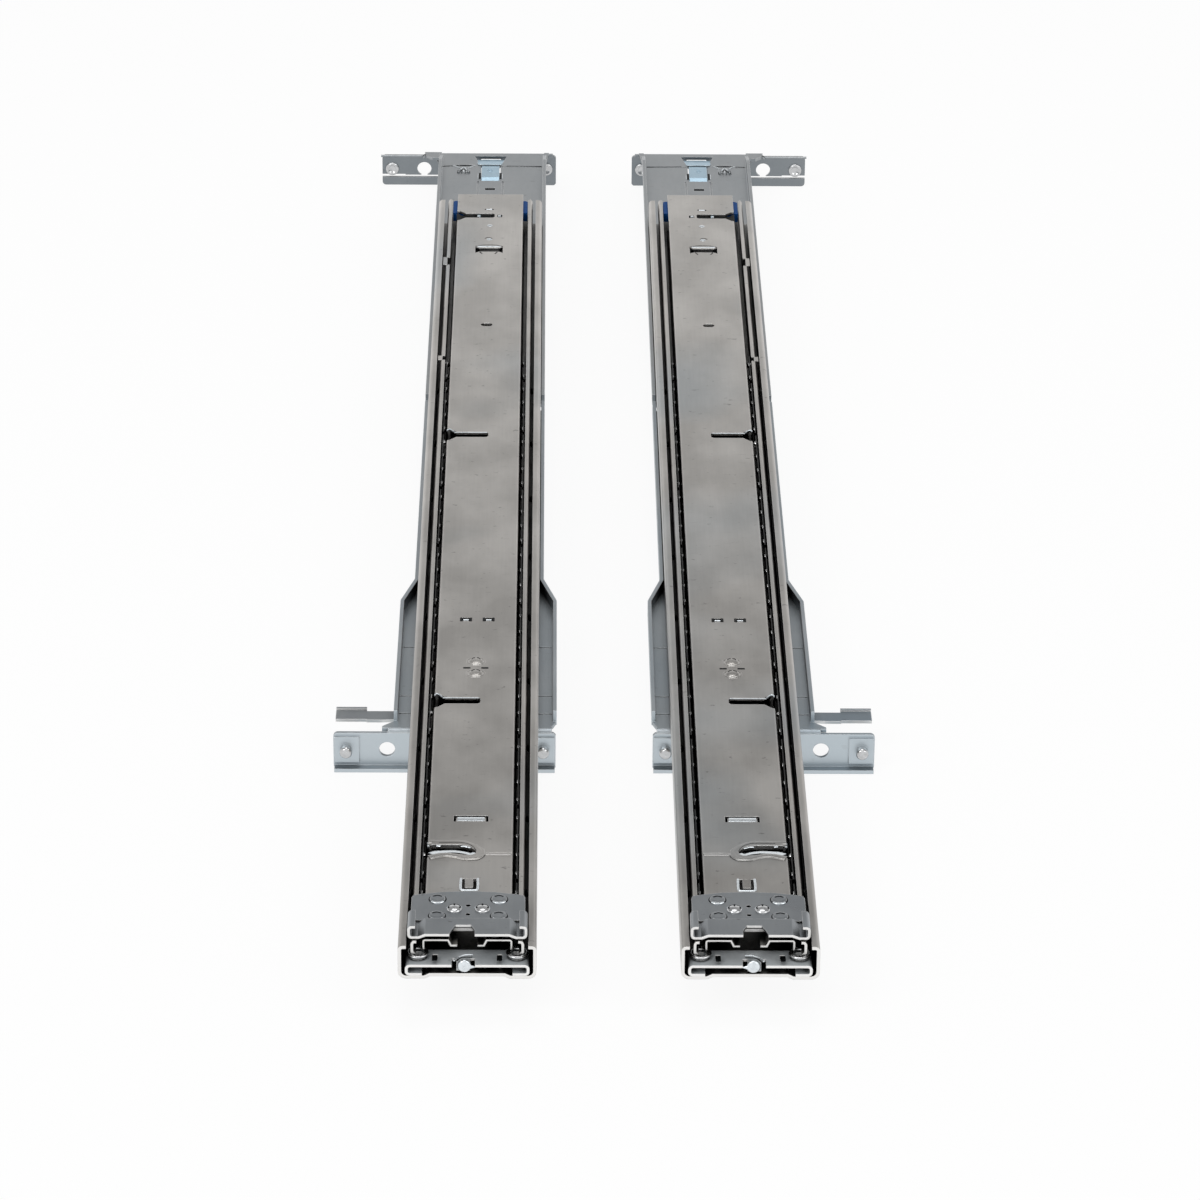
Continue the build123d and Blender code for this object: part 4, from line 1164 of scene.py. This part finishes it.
        painted_shade_lines.append(self.line([(-13.6, 507.4), (-6.0, 507.4), (1.6, 507.4)], deep, 3.0, 0.1, (1.0, 0.8)))
        painted_shade_lines.append(self.line([(-15.8, 507.4), (-13.4, 507.4)], deep, 6.0, 0.1, (1.0, 0.5)))

    def socket(self) -> None:
        """Makes lines of painted shade in the outer end socket's slots, and the rolled strip and round end
        of its tongue as painted highlights.
        """
        maker = self.maker
        top = SOCKET_TOP
        painted_shade_lines = [
            self.line([(x, -188.0), (x, -184.3)], top, 0.95, 0.15, (1.0, 1.0)) for x in (-11.5, 11.4)
        ]
        painted_shade_lines.append(self.line([(-3.6, -188.2), (-3.0, -186.9), (-1.5, -185.7), (1.8, -185.5)], top, 0.55))
        maker.join("outer_socket_seams", "rack_side", maker.finishes.seam, "bracket_steel", painted_shade_lines)
        strip = [(-4.6, -188.2), (-4.0, -186.9), (-2.4, -185.0), (-0.3, -184.0), (1.9, -184.0)]
        bright = [
            self.line(strip, top + 0.1, 0.6, 0.5),
            turned_surface(dome_profile(self.tongue_radius, 0.9, 0.5), self.tongue_end, "-Y"),
            self.line([(0.6, -188.7), (2.7, -188.7)], 22.0, 0.4, 0.9, (1.0, 0.2)),
        ]
        maker.join(
            "outer_socket_rolled_edges", "rack_side", maker.finishes.burnished, "bracket_steel", bright,
        )


@dataclass
class FrontBracketForms:
    """Rounded pressed forms of the front bracket and its latch."""

    maker: PieceMaker
    bump_x: float = -14.1
    bump_station: float = 597.6
    bump_radius: float = 2.4
    bump_stretch: float = 2.2
    dimple_x: float = -1.2
    dimple_station: float = 600.0
    tongue_top: float = 17.55
    window_sides: tuple[float, float] = (-6.9, 4.9)
    slit_sides: tuple[float, float] = (-6.1, 4.1)

    def build(self) -> None:
        """Makes the bracket's forms, its painted edge highlights, its lines of painted shade at the folds
        and the latch's head.
        """
        maker = self.maker
        finishes = maker.finishes
        for name, material, surfaces in (
            ("front_bracket_forms", finishes.front_bracket, self.forms()),
            ("front_bracket_rubbed_edges", finishes.burnished, self.rubbed_edges()),
            ("front_bracket_folds", finishes.seam, self.folds()),
        ):
            maker.join(name, "rack_side", material, "bracket_steel", surfaces)
        latch = maker.side.node("front_latch")
        maker.join("front_latch_head", latch, finishes.spring, "spring_steel", self.latch_head())

    def forms(self) -> list[Surface]:
        """Works out the ear's top lip and shoulder, and the rim of the flared bump.

        Returns:
            The surfaces.
        """
        lip = smooth_path([(-55.4, 625.6, 15.1), (-45.0, 625.6, 15.1), (-33.6, 625.6, 15.1)])
        shoulder = smooth_path([
            (-34.6, 625.6, 14.2), (-33.2, 625.6, 15.4), (-30.7, 625.6, 15.2), (-28.4, 625.4, 13.8),
            (-27.2, 625.4, 11.8),
        ])
        turn = np.linspace(0.0, math.pi, 15)
        rim = np.stack([
            self.bump_x + self.bump_radius * np.cos(turn),
            self.bump_station + self.bump_stretch * self.bump_radius * np.sin(turn),
            np.full(len(turn), FLOOR_TOP + 0.3),
        ], axis=-1)
        return [
            swept_surface(lip, round_section(0.55, 0.6)),
            swept_surface(shoulder, round_section(0.7, 0.5), (0.6, 0.6)),
            swept_surface(rim, round_section(0.7, 0.7), (0.6, 0.6)),
        ]

    def rubbed_edges(self) -> list[Surface]:
        """Works out painted highlights: the bump's bright wings and top, and the bright sides of the latch
        window.

        Returns:
            The surfaces.
        """
        line = PressedEdges.line
        edges = [
            line([(-19.2, 607.9), (-17.8, 606.5), (-16.0, 604.4)], FLOOR_TOP, 0.9, 0.5, (0.5, 0.8)),
            line([(-8.7, 608.0), (-10.1, 606.6), (-11.8, 604.4)], FLOOR_TOP, 0.9, 0.5, (0.5, 0.8)),
            line([(-15.6, 600.4), (-14.1, 603.6), (-12.7, 600.4)], FLOOR_TOP + 0.9, 0.5, 0.3),
        ]
        for x in self.window_sides:
            edges.append(line([(x, 590.4), (x, 596.6)], FLOOR_TOP, 0.3, 0.3))
        return edges

    def folds(self) -> list[Surface]:
        """Works out the lines of painted shade about the bump, across the floor, in the window and at the
        shoulder.

        Returns:
            The surfaces.
        """
        line = PressedEdges.line
        outline = [(-17.2, 597.2), (-16.6, 602.0), (-14.1, 605.6), (-11.6, 602.0), (-11.0, 597.2)]
        folds = [
            line([(-18.0, 607.9), (-14.1, 608.4), (-9.9, 608.0)], FLOOR_TOP, 0.75),
            line([(-15.4, 598.6), (-14.1, 601.2), (-12.8, 598.6)], FLOOR_TOP + 0.9, 0.5),
            line(outline, FLOOR_TOP, 0.3),
            line([(-24.0, 607.4), (-19.6, 607.6)], FLOOR_TOP, 0.4),
            line([(7.0, 607.6), (15.0, 607.4), (24.0, 607.2)], FLOOR_TOP, 0.4),
            line([(-2.9, 577.0), (1.1, 577.0)], FLOOR_TOP - 0.2, 1.3, 0.25, (0.8, 0.8)),
        ]
        for x in self.slit_sides:
            folds.append(line([(x, 590.2), (x, 597.4)], FLOOR_TOP + 0.1, 0.55, 0.2, (1.0, 1.0)))
        loop = smooth_path([
            (-35.3, 625.2, 14.8), (-33.5, 625.2, 16.3), (-30.6, 625.2, 16.0), (-28.0, 625.0, 14.4),
            (-26.6, 625.0, 12.0),
        ])
        folds.append(swept_surface(loop, round_section(0.3, 0.3, 8), (0.6, 0.6)))
        return folds

    def latch_head(self) -> list[Surface]:
        """Works out the latch's dimple and the flat ramp of its hook.

        Returns:
            The surfaces.
        """
        ring = np.array([
            [0.0, -0.3], [1.5, -0.3], [1.5, 0.0], [1.3, 0.2], [1.05, 0.26], [0.8, 0.16], [0.6, -0.1],
            [0.0, -0.2],
        ])
        dimple = turned_surface(ring, (self.dimple_x, self.dimple_station, self.tongue_top), "+Z")
        strip = np.array([[-7.3, 0.2], [7.3, 0.2], [7.3, -0.2], [-7.3, -0.2]])
        ramp = smooth_path([(-1.3, 618.6, 15.7), (-1.3, 613.0, 16.7), (-1.3, 608.2, 17.3)])
        return [dimple, swept_surface(ramp, strip, (1.0, 0.78))]


@dataclass
class SocketFittings:
    """Rivet heads and rolled seats of the outer end socket."""

    maker: PieceMaker
    foot_top: float = 20.2
    radius: float = 2.2
    height: float = 1.1
    foot: float = 0.4
    ring_radius: float = 3.3
    ring_tube: float = 0.75
    ring_flatness: float = 0.8
    ring_sink: float = 0.2
    sides: tuple[float, float] = (-17.6, 17.6)
    station: float = -182.1

    def ring_profile(self) -> np.ndarray:
        """Works out a rolled rim, which is a round tube about the hole.

        Returns:
            Rows of radius and height.
        """
        turn = np.linspace(-0.5 * math.pi, 1.35 * math.pi, 14)
        tube = np.stack([
            self.ring_radius + self.ring_tube * np.cos(turn),
            self.ring_flatness * self.ring_tube * np.sin(turn),
        ], axis=-1)
        return np.vstack([tube, tube[:1]])

    def build(self) -> None:
        """Makes both rivets and the rims of their seats."""
        maker = self.maker
        pin = maker.finishes.pin
        head = dome_profile(self.radius, self.height, self.foot)
        heads = [turned_surface(head, (x, self.station, self.foot_top), "+Z") for x in self.sides]
        maker.join("outer_socket_rivet_heads", "rack_side", pin, "pin_steel", heads, ["outer_socket_rivets"])
        # The seats' rolled rims take the bright turned-steel finish, which paints their white highlight
        rim_height = SOCKET_TOP - self.ring_sink
        ring = self.ring_profile()
        rings = [turned_surface(ring, (x, self.station, rim_height), "+Z") for x in self.sides]
        maker.join("outer_socket_seat_rims", "rack_side", pin, "pin_steel", rings)


@dataclass
class BallRows:
    """Smooth balls in the four cage strips, as many in the inner ones as show in the gaps."""

    maker: PieceMaker
    outer_place: tuple[float, float] = (21.4, 23.4)
    inner_place: tuple[float, float] = (17.2, 26.9)
    rear: float = -166.0
    length: float = 510.0
    outer_radius: float = 1.6
    outer_count: int = 9
    inner_radius: float = 1.35
    inner_count: int = 36
    sections: int = 14

    def row(self, radius: float, place: tuple[float, float], count: int) -> list[Surface]:
        """Works out the balls of both strips of one cage.

        Args:
            radius: Their radius.
            place: Sideways distance from the middle, and height.
            count: How many balls lie in each strip.

        Returns:
            A turned surface for each ball; its profile is a half circle from the lowest point up.
        """
        angle = np.linspace(-math.pi / 2, math.pi / 2, 9)
        half = np.stack([radius * np.cos(angle), radius * np.sin(angle)], axis=-1)
        pitch = self.length / count
        x, z = place
        return [
            turned_surface(half, (sign * x, self.rear + pitch * (i + 0.5), z), "+Z", self.sections)
            for sign in (-1, 1)
            for i in range(count)
        ]

    def build(self) -> None:
        """Makes the outer and the inner balls."""
        maker = self.maker
        outer = self.row(self.outer_radius, self.outer_place, self.outer_count)
        inner = self.row(self.inner_radius, self.inner_place, self.inner_count)
        # The outer balls take the finish painted dark for the shade in the outer gaps
        for name, material, row in (
            ("outer", maker.finishes.greased_ball, outer),
            ("inner", maker.finishes.ball, inner),
        ):
            body = maker.side.node(f"{name}_cage")
            maker.join(f"{name}_polished_balls", body, material, "ball_steel", row, [f"{name}_balls"])


@dataclass
class Studio:
    """White floor and surroundings, soft lamps, and the camera.

    The camera's place is in millimetres of the CAD's frame, and its focal length in pixels of a square
    image. The sky holds pairs of height above the horizon, as the sine of the elevation, and grey level.
    """

    camera_place: tuple[float, float, float] = (-21.854, -1985.145, 930.269)
    pitch_deg: float = 25.878
    yaw_deg: float = 0.641
    roll_deg: float = 0.479
    focal_px: float = 5143.198
    image_px: float = 1200.0
    sensor_mm: float = 36.0
    clip_m: tuple[float, float] = (0.05, 60.0)
    floor_m: float = 30.0
    floor_glow: float = 0.9
    floor_white: float = 0.85
    sky: tuple[tuple[float, float], ...] = (
        (0.0, 1.0), (0.3, 1.0), (0.37, 0.92), (0.44, 0.68), (0.5, 0.5), (0.6, 0.4), (1.0, 0.38),
    )
    bright_from: float = -0.15
    bright_to: float = -0.5
    bright_share: float = 0.85
    lamp_rows: tuple[tuple[str, tuple[float, float, float], float, float], ...] = (
        ("key", (-1.4, -1.6, 1.9), 1.2, 16.0),
        ("fill", (1.6, -1.2, 1.5), 1.4, 9.0),
        ("top", (0.0, 0.1, 2.3), 1.4, 12.0),
    )

    def build(self) -> None:
        """Makes the world, the floor, the lamps and the camera."""
        self.world()
        self.floor()
        self.lamps()
        self.camera()
        scene = bpy.context.scene
        scene.view_settings.view_transform = "Standard"

    def world(self) -> None:
        """Makes a sky that is white low down and behind the camera, greyer overhead, and white when seen."""
        world = bpy.data.worlds.new("studio_world")
        bpy.context.scene.world = world
        world.use_nodes = True
        tree = world.node_tree
        background = tree.nodes["Background"]
        direction = add_node(tree, "ShaderNodeTexCoord").outputs["Generated"]
        parts = add_node(tree, "ShaderNodeSeparateXYZ", None, Vector=direction)
        height = parts.outputs["Z"]
        sky = add_node(tree, "ShaderNodeValToRGB", {"stops": self.sky}, Fac=height).outputs["Color"]
        behind = add_node(
            tree, "ShaderNodeMapRange", None, Value=parts.outputs["Y"],
            i1=self.bright_from, i2=self.bright_to, i3=0.0, i4=self.bright_share,
        ).outputs[0]
        sky = add_node(tree, "ShaderNodeMix", BLEND, i0=behind, i6=sky, i7=WHITE).outputs[MIXED]
        seen = add_node(tree, "ShaderNodeLightPath").outputs["Is Camera Ray"]
        seen = add_node(tree, "ShaderNodeMix", BLEND, i0=seen, i6=sky, i7=WHITE).outputs[MIXED]
        tree.links.new(seen, background.inputs["Color"])
        background.inputs["Strength"].default_value = 1.0

    def floor(self) -> None:
        """Makes a wide matt floor that the camera and the metal see as near white, with a faint shadow."""
        half = self.floor_m / 2
        corners = np.array([[x * half, y * half, 0.0] for x, y in ((-1, -1), (1, -1), (1, 1), (-1, 1))])
        material = bpy.data.materials.new("white_floor")
        material.use_nodes = True
        tree = material.node_tree
        tree.nodes.remove(tree.nodes["Principled BSDF"])
        path = add_node(tree, "ShaderNodeLightPath")
        shown = add_node(
            tree, "ShaderNodeMath", {"operation": "MAXIMUM"},
            i0=path.outputs["Is Camera Ray"], i1=path.outputs["Is Glossy Ray"],
        ).outputs[0]
        shown = add_node(
            tree, "ShaderNodeMath", {"operation": "MAXIMUM"},
            i0=shown, i1=path.outputs["Is Transmission Ray"],
        ).outputs[0]
        share = add_node(
            tree, "ShaderNodeMath", {"operation": "MULTIPLY"}, i0=shown, i1=self.floor_glow,
        ).outputs[0]
        grey = (self.floor_white, self.floor_white, self.floor_white, 1.0)
        matt = add_node(tree, "ShaderNodeBsdfDiffuse", None, Color=grey).outputs[0]
        white = add_node(tree, "ShaderNodeEmission", None, Color=WHITE, Strength=1.0).outputs[0]
        mixed = add_node(tree, "ShaderNodeMixShader", None, i0=share, i1=matt, i2=white).outputs[0]
        tree.links.new(mixed, tree.nodes["Material Output"].inputs["Surface"])
        plane = mesh_piece("floor", corners, np.array([[0, 1, 2, 3]]), material, False)

    def lamps(self) -> None:
        """Makes two large soft lamps beside the camera and one over the rails, all aimed at the middle."""
        for name, place, size, watts in self.lamp_rows:
            light = bpy.data.lights.new(name, "AREA")
            light.shape = "DISK"
            light.size = size
            light.energy = watts
            lamp = bpy.data.objects.new(name, light)
            lamp.location = place
            lamp.rotation_mode = "QUATERNION"
            lamp.rotation_quaternion = (-Vector(place)).to_track_quat("-Z", "Y")
            bpy.context.scene.collection.objects.link(lamp)

    def camera(self) -> None:
        """Makes the camera: forward follows from yaw and pitch, and right and up are turned by the roll."""
        pitch, yaw, roll = (math.radians(a) for a in (self.pitch_deg, self.yaw_deg, self.roll_deg))
        level = math.cos(pitch)
        forward = Vector((math.sin(yaw) * level, math.cos(yaw) * level, -math.sin(pitch)))
        right = Vector((math.cos(yaw), -math.sin(yaw), 0.0))
        up = right.cross(forward)
        turned_right = right * math.cos(roll) + up * math.sin(roll)
        turned_up = -right * math.sin(roll) + up * math.cos(roll)
        matrix = Matrix((turned_right, turned_up, -forward)).transposed().to_4x4()
        matrix.translation = Vector(self.camera_place) * MM
        data = bpy.data.cameras.new("camera")
        data.sensor_width = self.sensor_mm
        data.lens = self.focal_px / self.image_px * self.sensor_mm
        data.clip_start, data.clip_end = self.clip_m
        camera = bpy.data.objects.new("camera", data)
        camera.matrix_world = matrix
        bpy.context.scene.collection.objects.link(camera)
        bpy.context.scene.camera = camera


def dress_nodes(frame: dict[str, Any], finishes: Finishes) -> None:
    """Gives every CAD node the finish of its material slot, or its own where it looks different.

    Args:
        finishes: The rails' finishes.
    """
    special = {
        "inner_end_plate": finishes.plate,
        "outer_end_socket": finishes.socket,
        "front_bracket": finishes.front_bracket,
        "rear_lever": finishes.plate,
    }
    own = {side.node(piece): finish for side in Side for piece, finish in special.items()}
    for part in frame["record"]["subparts"]:
        node = part["node"]
        mesh = frame["nodes"][node].data
        mesh.materials.clear()
        mesh.materials.append(own.get(node) or finishes.of_slot(part["material_slot"]))


def main() -> None:
    """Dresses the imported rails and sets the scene."""
    logging.basicConfig(level=logging.INFO, format="%(message)s")
    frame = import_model()
    finishes = Finishes()
    dress_nodes(frame, finishes)
    for side in Side:
        maker = PieceMaker(side, finishes)
        RackPins(maker).build()
        EndPlateRivets(maker).build()
        HookSlotGuide(maker).build()
        PressedEdges(maker).build()
        SocketFittings(maker).build()
        FrontBracketForms(maker).build()
        BallRows(maker).build()
    Studio().build()


if __name__ == "__main__":
    main()
